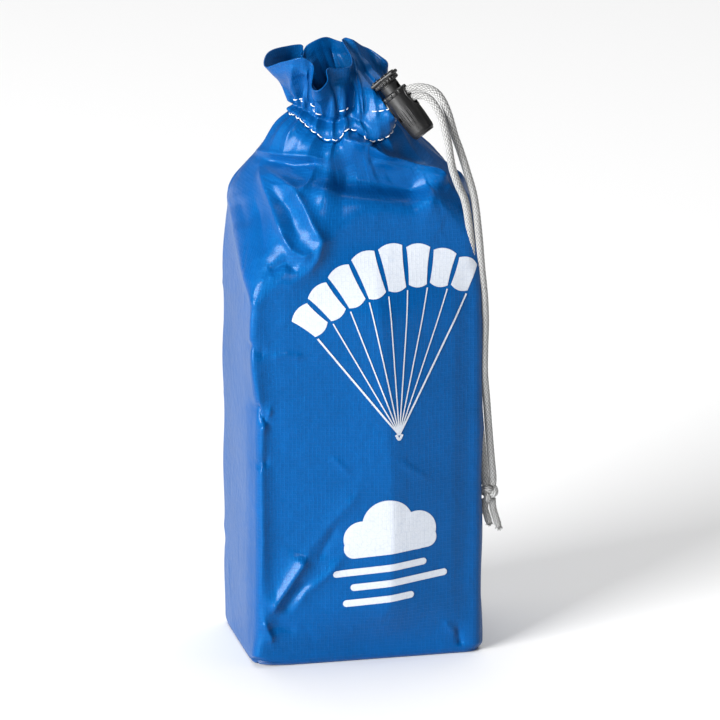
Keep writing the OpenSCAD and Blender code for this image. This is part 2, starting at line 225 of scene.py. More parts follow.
KNOT_AT = np.array([42.8, -21.4, 55.5])
KNOT_H = 7.2
OUTER = [
    [17.2, -20.3, 198.1], [18.8, -21.2, 198.3], [21.4, -22.7, 197.9], [23.5, -23.9, 196.7], [25.1, -24.9, 194.6],
    [26.3, -25.5, 192], [27.3, -26, 189], [28.2, -26.3, 185.7], [29.1, -26.4, 182.4], [31.1, -26.5, 176.8],
    [33.3, -26.7, 169.8], [35.7, -26.6, 161.3], [37.9, -25, 147.1], [39.2, -23.8, 135.3], [40.3, -23.5, 125.2],
    [40.7, -23.4, 116.2], [40.5, -23.4, 107.2], [40.5, -23.4, 98.2], [41.4, -22.9, 89], [42.5, -21.9, 77.7],
    [43.5, -21.4, 67.5]]
INNER = [
    [18.9, -21.6, 195.5], [20.5, -22.9, 195.1], [21.9, -24.3, 193.9], [23, -25.7, 192.1], [24.1, -26.9, 189.7],
    [24.9, -28, 186.9], [25.7, -28.7, 183.6], [26.4, -29.2, 179.9], [27, -29.2, 175.9], [27.9, -28.8, 171.6],
    [29.8, -28.2, 166.3], [32.5, -27.1, 160.2], [35.1, -24.7, 147], [36.4, -23.6, 135.2], [37.5, -23.4, 125.2],
    [38, -23.2, 116.1], [37.8, -23.2, 107.1], [37.8, -23.2, 98.1], [38.6, -22.7, 88.9], [39.7, -21.9, 77.7],
    [40.8, -21.4, 67.5]]
top = KNOT_AT[2] + KNOT_H / 2
outer_path = catmull([at_lock(5.25, HALF)] + OUTER + [[KNOT_AT[0] + 1.35, KNOT_AT[1], top + 1.5], [KNOT_AT[0] + 1.25, KNOT_AT[1], top - 1.0]], 0.2)
inner_path = catmull([at_lock(5.25, -HALF)] + INNER + [[KNOT_AT[0] - 1.35, KNOT_AT[1], top + 1.5], [KNOT_AT[0] - 1.25, KNOT_AT[1], top - 1.0]], 0.2)
SIDES = 32
strand_outer = tube("cord_strand_outer", outer_path, CORD_D / 2 - 0.02, SIDES, braid=0.14)
strand_inner = tube("cord_strand_inner", inner_path, CORD_D / 2 - 0.02, SIDES, braid=0.14)

# Loop inside the casing, with both runs through the lock.
loop_pts = [at_lock(5.3, HALF), at_lock(1, HALF), at_lock(-5.4, HALF), [6.2, -13.4, 188.6], [5.6, -9.8, 187]]
loop_pts += [[-4 + 12.8 * math.cos(math.radians(a)), 9.6 * math.sin(math.radians(a)), 186.3] for a in range(-40, 241, 20)]
loop_pts += [[0.2, -11.4, 186.3], [4.4, -14.6, 186.6], at_lock(-5.6, -HALF), at_lock(1, -HALF), at_lock(5.3, -HALF)]
cord_loop = tube("cord_loop", catmull(loop_pts, 0.4), CORD_D / 2 - 0.03, 24, braid=0.12)

# Overhand knot: a tightened three-crossing bend, wider than it is deep.
t = np.linspace(0, 2 * np.pi, 400, endpoint=False)
kx = np.sin(t) + 2.0 * np.sin(2 * t)
ky = np.cos(t) - 2.0 * np.cos(2 * t)
kz = -np.sin(3 * t)
knot_curve = np.stack([KNOT_AT[0] + 0.68 * kx, KNOT_AT[1] + 1.35 * kz, KNOT_AT[2] + 0.80 * ky - 0.1], 1)
knot = tube("cord_knot", knot_curve, 1.2, 26, caps=False, closed=True, braid=0.12)
zb = KNOT_AT[2] - KNOT_H / 2
tails = []
for s, reach in ((-1, 8.6), (1, 10.4)):
    x0 = KNOT_AT[0] + s * 1.25
    pts = [[x0, KNOT_AT[1], zb + 1.2], [x0, KNOT_AT[1], zb], [x0 + 0.2 * s, KNOT_AT[1] - 0.1, zb - 2.2],
           [x0 + 0.7 + 0.15 * s, KNOT_AT[1] - 0.1, zb - 4.6], [x0 + 1.8 + 0.45 * s, KNOT_AT[1], zb - reach * 0.86]]
    q = catmull(pts, 0.2)
    rad = np.full(len(q), CORD_D / 2 - 0.12)
    rad[-6:] *= np.linspace(1, 0.82, 6)
    tails.append(tube("tail_%d" % s, q, rad, 26, braid=0.13))
    # frayed yarns at the cut end
    end, dirn = q[-1], unit(q[-1] - q[-4])
    for i in range(26):
        a, rr = rng.uniform(0, 2 * np.pi), rng.uniform(0.1, 1.0)
        side = unit(np.cross(dirn, [0.3, 1, 0.2]))
        other = np.cross(dirn, side)
        o = end + rr * (math.cos(a) * side + math.sin(a) * other) - 0.3 * dirn
        spread = 0.55 * (math.cos(a) * side + math.sin(a) * other)
        ln = rng.uniform(0.7, 1.9)
        yarn = np.array([o, o + dirn * ln * 0.5 + spread * 0.25 * rr, o + dirn * ln * 0.9 + spread * rr * rng.uniform(0.4, 1.2)])
        tails.append(tube("yarn", catmull(yarn, 0.3), 0.1, 5))
cord_tails = join("cord_tails", tails)
print("cord lengths mm", np.linalg.norm(np.diff(outer_path, axis=0), axis=1).sum(), np.linalg.norm(np.diff(inner_path, axis=0), axis=1).sum())

# ------------------------------------------------------------------ bag cloth
def pchip(x, xp, fp):
    """Monotone smooth interpolation."""
    xp, fp = np.asarray(xp, float), np.asarray(fp, float)
    h, d = np.diff(xp), np.diff(fp) / np.diff(xp)
    m = np.zeros_like(fp)
    m[0], m[-1] = d[0], d[-1]
    for i in range(1, len(fp) - 1):
        if d[i - 1] * d[i] > 0:
            w1, w2 = 2 * h[i] + h[i - 1], h[i] + 2 * h[i - 1]
            m[i] = (w1 + w2) / (w1 / d[i - 1] + w2 / d[i])
    x = np.clip(x, xp[0], xp[-1])
    i = np.clip(np.searchsorted(xp, x) - 1, 0, len(h) - 1)
    t = (x - xp[i]) / h[i]
    return ((2 * t ** 3 - 3 * t ** 2 + 1) * fp[i] + (t ** 3 - 2 * t ** 2 + t) * h[i] * m[i]
            + (-2 * t ** 3 + 3 * t ** 2) * fp[i + 1] + (t ** 3 - t ** 2) * h[i] * m[i + 1])


# height, half width, half depth, offset in x
ROWS = np.array([
    [0.0, 38.6, 25.1, 0], [0.9, 39.5, 26.0, 0], [3, 40, 26.5, 0], [24, 40, 26.5, 0], [60, 40, 26.5, 0], [102, 40, 26.5, 0],
    [126, 39.8, 26.3, 0], [142, 39.6, 26, 0], [152, 39.0, 25.4, -.2], [158, 38, 24.6, -.6], [163, 36.2, 23.4, -1.2],
    [168, 33.2, 21.6, -2], [172, 29.9, 19.8, -2.8], [176, 25.8, 17.8, -3.4], [179.5, 21.6, 16, -3.6], [182, 17.6, 14.2, -3.6]])
CORNERS = [(0.0, (0, -1), (1, 0)), (80.0, (1, 0), (0, 1)), (133.0, (0, 1), (-1, 0)), (213.0, (-1, 0), (0, -1))]
# corner softness against height: front left, front right, back right, back left
SOFT_Z = [0, 3, 118, 128, 135, 147, 158, 172, 182]
SOFT = [
    [20, 8, 5.5, 6, 20, 50, 84, 120, 130],
    [14, 9, 9, 9.5, 11, 16, 26, 70, 110],
    [14, 11, 12, 14, 18, 30, 50, 90, 110],
    [14, 10, 10, 11, 14, 18, 26, 70, 110]]


def wrap(x, period=266.0):
    return (x + period / 2) % period - period / 2


def outline(s, z):
    """Blurred rectangle outline, at base size."""
    s = s % 266.0
    X = np.where(s < 80, -40 + s, np.where(s < 133, 40.0, np.where(s < 213, 40 - (s - 133), -40.0)))
    Y = np.where(s < 80, -26.5, np.where(s < 133, -26.5 + (s - 80), np.where(s < 213, 26.5, 26.5 - (s - 213))))
    for (c, d1, d2), soft in zip(CORNERS, SOFT):
        w = np.interp(z, SOFT_Z, soft)
        k = np.maximum(w / 2 - np.abs(wrap(s - c)), 0) ** 2 / (2 * w)
        X = X + (d2[0] - d1[0]) * k
        Y = Y + (d2[1] - d1[1]) * k
    return X, Y


def theta(s):
    """Angle round the neck, in degrees, for a place on the outline."""
    return -90 + (s - 40) / 66.5 * 90


SEAM_T = [-180, -160, -146, -132, -118, -106, -99, -93, -84, -77, -70, -60, -50, -38, -20, 0, 45, 90, 135, 180]
SEAM_Z = [186, 186.4, 184.6, 181.6, 179.2, 178.6, 180.2, 183.2, 182.6, 179.0, 178.4, 179.6, 181.6, 184.0, 184.6, 184, 183.6, 183, 184.6, 186]


def seam_z(th):
    return np.interp((th + 180) % 360 - 180, SEAM_T, SEAM_Z)


# gathers at the neck: angle, reach down the shoulder, height
n_g = 26
g_ang = np.sort((np.arange(n_g) + rng.uniform(-0.33, 0.33, n_g)) * 360 / n_g)
g_reach = rng.uniform(8, 26, n_g)
g_high = rng.uniform(0.7, 1.5, n_g)
g_wide = rng.uniform(3.2, 5.2, n_g)


def gathers(th, drop):
    """Height of the neck's folds at angle th, drop millimetres below the seam."""
    out = np.zeros(np.broadcast(th, drop).shape)
    for a, reach, high, wide in zip(g_ang, g_reach, g_high, g_wide):
        d = np.abs((th - a + 180) % 360 - 180)
        w = wide * (1 + 0.05 * np.maximum(drop, 0))
        out = out + high * np.exp(-(d / w) ** 1.5) * np.clip(1 - drop / reach, 0, 1) ** 1.2
    return out - 0.45


COLS = 532
zc = np.concatenate([np.arange(0, 4, 0.5), np.arange(4, 120, 0.8), np.arange(120, 160, 0.6), np.arange(160, 182, 0.4), [182.0]])
sc = np.arange(COLS) * 0.5
S, Z = np.meshgrid(sc, zc)


def body_point(S, Z):
    a, b, cx = (pchip(Z.ravel(), ROWS[:, 0], ROWS[:, i]).reshape(Z.shape) for i in (1, 2, 3))
    X, Y = outline(S, Z)
    th = theta(S)
    k = smooth(Z, 166, 182)
    X = (1 - k) * X * a / 40 + k * a * np.cos(np.radians(th)) + cx
    Y = (1 - k) * Y * b / 26.5 + k * b * np.sin(np.radians(th))
    zz = Z + (seam_z(th) - 182) * smooth(Z, 160, 182)
    return np.stack([X, Y, zz], -1)


P = body_point(S, Z)


def lock_bulge(th):
    """The casing stands out over the drawcord on its way to the lock."""
    return np.exp(-(((th + 57 + 180) % 360 - 180) / 22.0) ** 2)


out_xy = np.stack([np.cos(np.radians(theta(S))), np.sin(np.radians(theta(S)))], -1)
P[..., :2] += out_xy * (4.6 * lock_bulge(theta(S)) * smooth(Z, 170, 182))[..., None]


def normals_of(P, closed=True):
    du = (np.roll(P, -1, 1) - np.roll(P, 1, 1)) if closed else np.gradient(P, axis=1)
    dv = np.gradient(P, axis=0)
    return unit(np.cross(du, dv))


N0 = normals_of(P)
Q = np.where(S > 213, S - 266, S)   # across the front from 0 to 80, the left side below 0, the right side above 80
u, v = P @ RIGHT, P @ UP
facing = smooth(N0 @ BACK, 0.0, 0.25)


def seg_dist(px, py, line):
    """Distance to a polyline, which side, and share of the way along it."""
    best = np.full(px.shape, 1e9)
    side = np.zeros(px.shape)
    along = np.zeros(px.shape)
    line = np.asarray(line, float)
    L = np.r_[0, np.cumsum(np.linalg.norm(np.diff(line, axis=0), axis=1))]
    for i in range(len(line) - 1):
        a, d = line[i], line[i + 1] - line[i]
        t = np.clip(((px - a[0]) * d[0] + (py - a[1]) * d[1]) / (d @ d), 0, 1)
        ex, ey = px - a[0] - t * d[0], py - a[1] - t * d[1]
        dist = np.hypot(ex, ey)
        m = dist < best
        best = np.where(m, dist, best)
        side = np.where(m, np.sign(d[0] * ey - d[1] * ex), side)
        along = np.where(m, (L[i] + t * np.linalg.norm(d)) / L[-1], along)
    return best, side, along


def crease(line, high, wide, taper=0.25, sharp=0.22, lean=0.0, coords=None):
    """A ridge (or a valley, for a negative height) along a line. lean makes the side to the left of the line fall away slower."""
    px, py = coords if coords is not None else (u, v)
    d, side, t = seg_dist(px, py, line)
    w = wide * (1 + lean * side)
    e = sharp * wide
    prof = np.exp(-(np.sqrt(d * d + e * e) - e) / w)
    ends = smooth(t, 0, taper) if taper else 1.0
    ends = ends * (smooth(1 - t, 0, taper) if taper else 1.0)
    return high * prof * (0.25 + 0.75 * ends)


D = np.zeros(S.shape)
# Folds of the three-quarter view, in millimetres right of and above the middle of the base.
F = np.zeros(S.shape)
# ridge that runs from the neck to the right shoulder, its twin, and the hollow under them
F += crease([(-1.5, 168), (3, 166.3), (15, 161.5), (27.5, 156.5), (32.2, 152.8)], 3.1, 1.7, 0.1, sharp=0.12, lean=-0.35)
F += crease([(6, 160.6), (13, 159.4), (22, 157.2), (31.5, 153)], 1.2, 1.4, 0.15)
F += crease([(-9, 154.5), (4, 153.6), (18, 152.2), (27, 151.4)], -4.0, 5.4, 0.2, sharp=0.7)
F += crease([(-16, 151.5), (2, 148.2), (19, 145.9), (28, 148.4), (32.2, 152.2)], 2.6, 4.6, 0.15, sharp=0.6, lean=-0.4)
# streaks that fall from the left shoulder, with the slack between them
F += crease([(-30.2, 160), (-28, 152), (-25, 143), (-22, 134)], 1.9, 2.5, 0.2, sharp=0.3, lean=0.3)
F += crease([(-30.2, 160), (-23.4, 154.5), (-18.6, 151), (-15.6, 145.5), (-13.2, 139.6), (-10.2, 134.1), (-11.9, 128.4), (-14.2, 125), (-20.4, 119.6)], 1.8, 2.3, 0.3, sharp=0.3, lean=-0.2)
F += crease([(-27, 152), (-21, 144), (-17.5, 134)], -1.0, 3.0, 0.3)
F += crease([(-33, 150), (-31, 138), (-30, 128)], -1.2, 2.4, 0.3)
F += crease([(-23.7, 137), (-20, 131), (-16, 129), (-13, 131)], 0.9, 1.0, 0.2)
F += crease([(-28, 124), (-22, 127), (-18, 124)], -0.8, 1.4, 0.2)
# side panel's fold, and the shoulder's
F += crease([(-42.4, 152.1), (-39, 139), (-34.6, 119.2), (-32.9, 113.8)], 1.1, 1.7, 0.3, lean=0.35)
F += crease([(-41, 157.5), (-38, 160.5), (-33.6, 165)], 0.8, 1.4, 0.3)
F += crease([(-39, 150), (-36, 138)], -1.0, 3.0, 0.3)
F += crease([(-33, 165), (-22, 163), (-14, 162.5), (-8, 161)], 1.0, 1.3, 0.2)
F += crease([(-30, 162), (-20, 159.5), (-10, 160)], -1.1, 1.8, 0.2)
F += crease([(-12, 160), (-14, 154), (-17, 149)], 1.1, 1.6, 0.25)
# the long front-left edge's dents
F += crease([(-32.8, 113.8), (-33.4, 100), (-32.7, 88.7), (-31, 74.5), (-31.7, 60.6), (-31.4, 32.5), (-32, 15.5)], 0.55, 1.3, 0.08)
F += crease([(-34.4, 80), (-31, 75.5), (-28.6, 72.6)], -1.5, 1.5, 0.25)
F += crease([(-32.5, 70), (-29.5, 74), (-27.6, 79)], 0.8, 1.1, 0.25)
F += crease([(-34, 58), (-31.5, 60.5), (-28, 60)], -0.7, 1.5, 0.25)
F += crease([(-35, 101), (-31.5, 97), (-28, 97)], -0.7, 1.6, 0.25)
# bottom left: the bright streak, its ridge and the dark tucks beside it
F += crease([(-28.8, 8.7), (-22.5, 17.5), (-15.3, 29)], 1.9, 2.4, 0.15, lean=0.25)
F += crease([(-15.3, 29), (-8, 40), (0.3, 49.4), (2.2, 54)], 0.55, 2.2, 0.3)
F += crease([(-12.2, 26.5), (-9.4, 32.5), (-5.1, 40.2)], -0.6, 1.8, 0.3)
F += crease([(-24, 8), (-19.5, 15.5), (-14.2, 21)], -0.8, 1.8, 0.25)
F += crease([(-20.5, 9), (-15.5, 17), (-9.5, 22), (-3, 30)], 0.7, 1.6, 0.25)
F += crease([(-31.2, 6.3), (-27.1, -1.4)], 1.0, 1.3, 0.2)
F += crease([(-31, 3), (-25, 4.5), (-18, 3)], -0.6, 1.6, 0.25)
F += crease([(35.6, 4), (37.4, -3)], -0.9, 1.2, 0.2)
F += crease([(31, 6), (36, 1)], 0.5, 1.2, 0.2)
# shallow cross folds
F += crease([(-27.1, 95.5), (-22, 96.4), (-16.6, 95.8)], 0.5, 0.7, 0.2)
F += crease([(-17, 96), (0, 94.5), (12, 95)], 0.22, 0.8, 0.3)
F += crease([(-8, 63), (-1, 57)], 0.35, 0.9, 0.3)
F += crease([(14, 62), (26, 55)], 0.3, 1.0, 0.3)
D += 1.4 * F * facing

# The front is a shallow roof: the rolled kite's layer edge shows as a long upright fold.
xf = Q - 44.5 - 2.5 * np.sin(Z / 31.0)
front = smooth(Q, 2, 12) * smooth(80 - Q, 2, 12) * smooth(-Z, -150, -118) * smooth(Z, 4, 22)
D += front * (5.6 * (1 - np.sqrt(xf ** 2 + 0.5) / 38) - 0.5 * smooth(xf, 0, 36))
D += front * 0.35 * np.sin((Q - 18) / 80 * 2 * np.pi) * np.sin(Z / 27.0)

# Loose cloth everywhere else: long soft rolls and random short creases.
sq = S / 266 * 2 * np.pi
for k in range(9):
    n, m, ph, ph2 = rng.integers(1, 6), rng.uniform(0.5, 3.2), rng.uniform(0, 6.28), rng.uniform(0, 6.28)
    soft_rolls = 0.13 * np.sin(n * sq + ph + m * Z / 40) * np.sin(m * Z / 32 + ph2)
    D += soft_rolls * (1 - 0.6 * facing)
side_view = 1 - 0.72 * facing
for k in range(150):
    c = np.array([rng.uniform(0, 266), rng.uniform(6, 168)])
    near_end = (c[1] > 128) or (c[1] < 30)
    ang = rng.normal(90 if near_end else rng.choice([0, 90, 40, 140]), 24)
    ln = rng.uniform(5, 17) * (1.5 if c[1] > 128 else 1)
    dv = np.array([math.cos(math.radians(ang)), math.sin(math.radians(ang))]) * ln / 2
    bend = np.array([-dv[1], dv[0]]) * rng.uniform(-0.25, 0.25)
    line = [c - dv, c + bend, c + dv]
    hgt = rng.choice([-1, 1]) * rng.uniform(0.12, 0.42) * (1.9 if near_end else 1)
    for off in (-266, 0, 266):
        pts = [(p[0] + off, p[1]) for p in line]
        if max(p[0] for p in pts) < -12 or min(p[0] for p in pts) > 278:
            continue
        D += side_view * crease(pts, hgt, rng.uniform(0.9, 2.3), 0.3, coords=(S, Z))
# big folds of the back and right shoulders, like the ones of the front
for line, hgt, wid in (
        ([(92, 176), (100, 160), (104, 138)], 1.7, 2.2), ([(112, 178), (117, 160), (126, 146), (133, 138)], 1.9, 2.0),
        ([(128, 172), (122, 158), (110, 146)], -1.5, 3.0), ([(140, 176), (150, 165), (165, 158)], 1.6, 2.2),
        ([(158, 176), (168, 160), (172, 144)], -1.8, 4.0), ([(180, 178), (187, 164), (196, 150), (206, 142)], 1.9, 2.2),
        ([(205, 174), (200, 160), (188, 150)], 1.3, 1.8), ([(147, 20), (158, 36), (168, 58)], 1.6, 2.4),
        ([(196, 8), (188, 22), (176, 34)], 1.3, 2.2), ([(88, 8), (98, 20), (104, 40)], 1.2, 2.2),
        ([(120, 10), (112, 24), (110, 44)], 0.9, 2.0), ([(170, 70), (186, 88), (190, 110)], 0.8, 3.0)):
    D += side_view * crease(line, hgt, wid, 0.2, coords=(S, Z))

# neck folds and the pleats that spread from them
th = theta(S)
drop = np.maximum(182 - Z, 0)
D += gathers(th, drop) * smooth(Z, 158, 176) * 1.0
D *= smooth(Z, 0.0, 3.5)
# keep the seam ring as it is, so the casing meets it
P = P + N0 * D[..., None]
# the front-left bottom corner is dented and lifted a little
corner = np.exp(-(Q / 9.0) ** 2) * smooth(-Z, -14, 0)
P[..., 2] += 1.1 * corner * (1 - 0.25 * smooth(Z, 0, 14))
P[..., 0] += 1.6 * np.exp(-(Q / 7.0) ** 2) * smooth(-Z, -112, -84) * smooth(Z, 2, 14)
P[..., 2] = np.maximum(P[..., 2], 0.15)
BODY = P
BODY_N = normals_of(P)
# cloth length down each column, for the weave
V = np.zeros(S.shape)
V[1:] = np.cumsum(np.linalg.norm(np.diff(P, axis=0), axis=2), 0)
V = np.repeat(V.mean(1)[:, None], COLS, 1) * 0.35 + V * 0.65
U = np.repeat((np.arange(COLS + 1) * 0.5)[None], len(zc), 0)
f, uv = grid_parts(P, True, U, V)
bag = mesh_obj("bag_cloth", P.reshape(-1, 3), f, uv.reshape(-1, 2))

# ------------------------------------------------------------------ gathered mouth
RIM = np.array([
    (-29.5, 0, 202.5), (-25, -8, 206.0), (-19.7, -12, 208.2), (-16.5, -13, 205.5), (-17.6, -17, 199.5), (-15.5, -19.5, 198.8),
    (-12, -18.5, 201.5), (-11.5, -16, 204.8), (-7.5, -14, 204.2), (-3.2, -12, 204.6), (-1.8, -7, 207.0), (-2.2, 3, 210.2), (1, 2, 209.6),
    (6, 2, 206.5), (12.5, 0, 200.5), (13, 8, 201), (8, 14, 204), (0, 15, 206), (-6, 15, 208), (-12, 14, 206),
    (-14.5, 12, 203), (-14, 14, 206), (-20, 13, 206), (-27, 8, 205.5)], float)
RIM_T = [-180, -138, -112, -90, -72, -15, 60, 120, 180]
RIM_I = [0, 3, 6, 9, 11, 14, 17, 20, 24]


def rim_at(i):
    i = np.asarray(i, float)
    k = np.floor(i).astype(int)
    t = (i - k)[:, None]
    n = len(RIM)
    p0, p1, p2, p3 = RIM[(k - 1) % n], RIM[k % n], RIM[(k + 1) % n], RIM[(k + 2) % n]
    return 0.5 * (2 * p1 + (p2 - p0) * t + (2 * p0 - 5 * p1 + 4 * p2 - p3) * t * t + (3 * p1 - p0 - 3 * p2 + p3) * t ** 3)


th1 = (theta(sc) + 180) % 360 - 180
seam = BODY[-1]
rim = rim_at(np.interp(th1, RIM_T, RIM_I))
c1, s1 = np.cos(np.radians(th1)), np.sin(np.radians(th1))
pinch_fold = gathers(th1, np.full(th1.shape, 1.0))
push = 8.2 * lock_bulge(th1)
pin = np.stack([-4 + (14.9 + 1.0 * pinch_fold + push) * c1, (11.7 + 1.0 * pinch_fold + push) * s1, 186.9 + 0.45 * (seam[:, 2] - 182)], -1)
rows = []
for t in np.linspace(0, 1, 14):
    bulge = 1.3 * math.sin(math.pi * t)
    rows.append(seam * (1 - t) + pin * t + bulge * np.stack([c1, s1, 0 * c1], -1))
for t in np.linspace(0, 1, 56)[1:]:
    w = t ** 1.18
    w = w * (1 - 0.75 * lock_bulge(th1) * (1 - smooth(t, 0.3, 0.62)))[:, None]
    p = np.empty_like(pin)
    p[:, :2] = pin[:, :2] * (1 - w) + rim[:, :2] * w
    p[:, 2] = pin[:, 2] * (1 - t) + rim[:, 2] * t
    # the cloth stands up before it opens
    lift = 2.2 * math.sin(math.pi * min(1, t * 1.2)) * (1 - t)
    p[:, 2] += lift
    rows.append(p)
C = np.array(rows)
tt = np.r_[np.linspace(-0.25, 0, 14), np.linspace(0, 1, 56)[1:]][:, None] * np.ones(COLS)
TH = np.repeat(th1[None], len(C), 0)
NC = normals_of(C)
N_CAM = smooth(NC @ BACK, -0.1, 0.15)
DC = np.zeros(TH.shape)
# pleats that run up from the pinch, and the folds seen at the front
for a, high, wide, reach in zip(g_ang, g_high, g_wide, rng.uniform(0.35, 0.95, n_g)):
    d = np.abs((TH - a + 180) % 360 - 180)
    DC += 1.1 * high * np.exp(-(d / (wide * 0.8)) ** 1.4) * smooth(1 - tt / reach, 0, 0.9) * smooth(tt, -0.02, 0.1)
for c0, a0, c1_, a1, high, wide in (
        (-172, 0.1, -160, 0.95, 1.2, 4), (-158, 0.05, -150, 0.7, -1.3, 4), (-147, 0.1, -146, 0.85, 1.3, 3.2), (-138, 0.0, -134, 0.6, -1.2, 3.4),
        (-122, 0.0, -126, 0.8, 1.0, 3.0), (-104, 0.0, -98, 0.75, 1.1, 3.4), (-86, 0.0, -84, 0.8, -1.4, 3.0), (-76, 0.0, -74, 0.9, 1.4, 2.8),
        (-62, 0.05, -60, 0.7, -1.1, 4), (-48, 0.1, -52, 0.8, 0.9, 4), (-20, 0.1, -18, 0.9, -1.0, 6), (8, 0.1, 16, 0.9, 1.2, 5),
        (40, 0.1, 46, 0.8, -1.3, 6), (78, 0.1, 74, 0.9, 1.4, 5), (104, 0.1, 110, 0.8, -1.2, 5), (150, 0.1, 146, 0.9, 1.3, 6)):
    line = [(c0 / 8, a0 * 22), ((c0 + c1_) / 16 + 0.2, (a0 + a1) * 11), (c1_ / 8, a1 * 22)]
    DC += crease(line, 1.3 * high, wide / 5.0, 0.2, sharp=0.12, coords=(TH / 8, tt * 22)) * smooth(tt, 0.0, 0.12)
DC *= 1 - 0.55 * smooth(tt, 0.86, 1.0)
C = C + NC * DC[..., None]
C[0] = BODY[-1]
# rim hem: a slightly fuller, wavy edge
wave = 0.35 * np.sin(np.radians(TH * 11)) * smooth(tt, 0.8, 1)
C = C + normals_of(C) * wave[..., None]
# clear of the cord lock's barrel
axis0 = LOCK_AT - 13.5 * LOCK_UP


def clear_lock(C, gap=5.0):
    for _ in range(2):
        h = np.clip((C - axis0) @ LOCK_UP, -1.0, 23.5)
        near = axis0 + h[..., None] * LOCK_UP
        d = C - near
        L = np.linalg.norm(d, axis=-1)
        push = np.clip(gap - L, 0, None)
        away = unit(d * 0.35 + np.array([-0.75, 0.65, 0.0]) * gap * 0.8)
        C = C + away * push[..., None] * 1.15
    return C


# the casing's lip covers the cord where it comes out towards the lock
view_r, view_u = np.array([0.976, -0.218, 0.0]), np.array([0.0627, 0.2804, 0.958])
cord_in = [p for p in catmull(loop_pts, 0.4) if p @ view_r > 8.0]
cord_in = [p for p in cord_in if (p - LOCK_AT) @ LOCK_X < -4.6 and np.linalg.norm(p - LOCK_AT) < 14]
cover = np.zeros(TH.shape)
cu, cv, cw = C @ view_r, C @ view_u, C @ BACK
for p in cord_in:
    d2 = (cu - p @ view_r) ** 2 + (cv - p @ view_u) ** 2
    cover = np.maximum(cover, np.clip(p @ BACK + 1.3 + 1.2 - cw, 0, 9) * np.exp(-(d2 / 3.4 ** 2) ** 2))
cover *= (N_CAM > 0.0) * smooth(tt, -0.25, -0.15)
C = C + BACK * cover[..., None]
C = clear_lock(C, 4.95)
BODY2 = clear_lock(BODY)
if np.abs(BODY2 - BODY).max() > 1e-6:
    BODY = BODY2
    C[0] = BODY[-1]
    bag.data.vertices.foreach_set("co", (BODY.reshape(-1, 3) * MM).astype(np.float32).ravel())
    bag.data.update()
CAS = C
VC = np.zeros(TH.shape)
VC[1:] = np.cumsum(np.linalg.norm(np.diff(C, axis=0), axis=2), 0)
VC += V[-1][None]
UC = np.repeat((np.arange(COLS + 1) * 0.5)[None], len(C), 0)
f, uv = grid_parts(C, True, UC, VC)
casing = mesh_obj("mouth_cloth", C.reshape(-1, 3), f, uv.reshape(-1, 2))
for ob, th_mm in ((bag, 0.3), (casing, 0.32)):
    m = ob.modifiers.new("cloth", "SOLIDIFY")
    m.thickness, m.offset = th_mm * MM, -1

# Lock-stitches: short capsules that follow the cloth, with their thread sinking in at both ends.
CN = normals_of(CAS)


def stitches(name, row, length=2.1, gap=0.75, lift=0.16, tucked=()):
    line, nor = CAS[row], CN[row]
    L = np.r_[0, np.cumsum(np.linalg.norm(np.diff(np.vstack([line, line[:1]]), axis=0), axis=1))]
    full = np.vstack([line, line[:1]])
    fn = np.vstack([nor, nor[:1]])
    obs, x = [], 0.3
    while x + length < L[-1]:
        ln = length * rng.uniform(0.85, 1.1)
        ang = np.interp(x, L[:-1], np.unwrap(th1, period=360)) % 360
        if any((ang - a) % 360 < w for a, w in tucked):
            x += ln + gap
            continue
        q = np.linspace(x, x + ln, 7)
        p = np.stack([np.interp(q, L, full[:, j]) for j in range(3)], 1)
        n = unit(np.stack([np.interp(q, L, fn[:, j]) for j in range(3)], 1))
        bow = lift + 0.16 * np.sin(np.linspace(0, np.pi, 7)) - 0.3 * np.array([1, .15, 0, 0, 0, .15, 1])
        p = p + n * bow[:, None] + np.array([0, 0, 1]) * rng.uniform(-0.12, 0.12)
        obs.append(tube("st", p, 0.16, 8))
        x += ln + gap * rng.uniform(0.8, 1.3)
    return join(name, obs)


stitch_low = stitches("stitches_low", 2, tucked=((226, 5), (252, 6), (276, 4), (30, 10), (95, 14), (160, 12)))
stitch_high = stitches("stitches_high", 20, 2.0, 0.8, tucked=((238, 14), (266, 22), (312, 28), (40, 30), (120, 26), (172, 18)))

# ------------------------------------------------------------------ printed front
def on_bag(q, z, lift=0.14):
    """Points on the front of the bag cloth, for places across and up it."""
    q, z = np.asarray(q, float), np.asarray(z, float)
    ci = q / 0.5
    ri = np.interp(z, BODY[:, 60, 2], np.arange(len(zc)))
    c0, r0 = np.floor(ci).astype(int), np.clip(np.floor(ri).astype(int), 0, len(zc) - 2)
    a, b = (ci - c0)[..., None], (ri - r0)[..., None]
    def at(A):
        return ((A[r0, c0 % COLS] * (1 - a) + A[r0, (c0 + 1) % COLS] * a) * (1 - b)
                + (A[r0 + 1, c0 % COLS] * (1 - a) + A[r0 + 1, (c0 + 1) % COLS] * a) * b)
    return at(BODY) + unit(at(BODY_N)) * lift


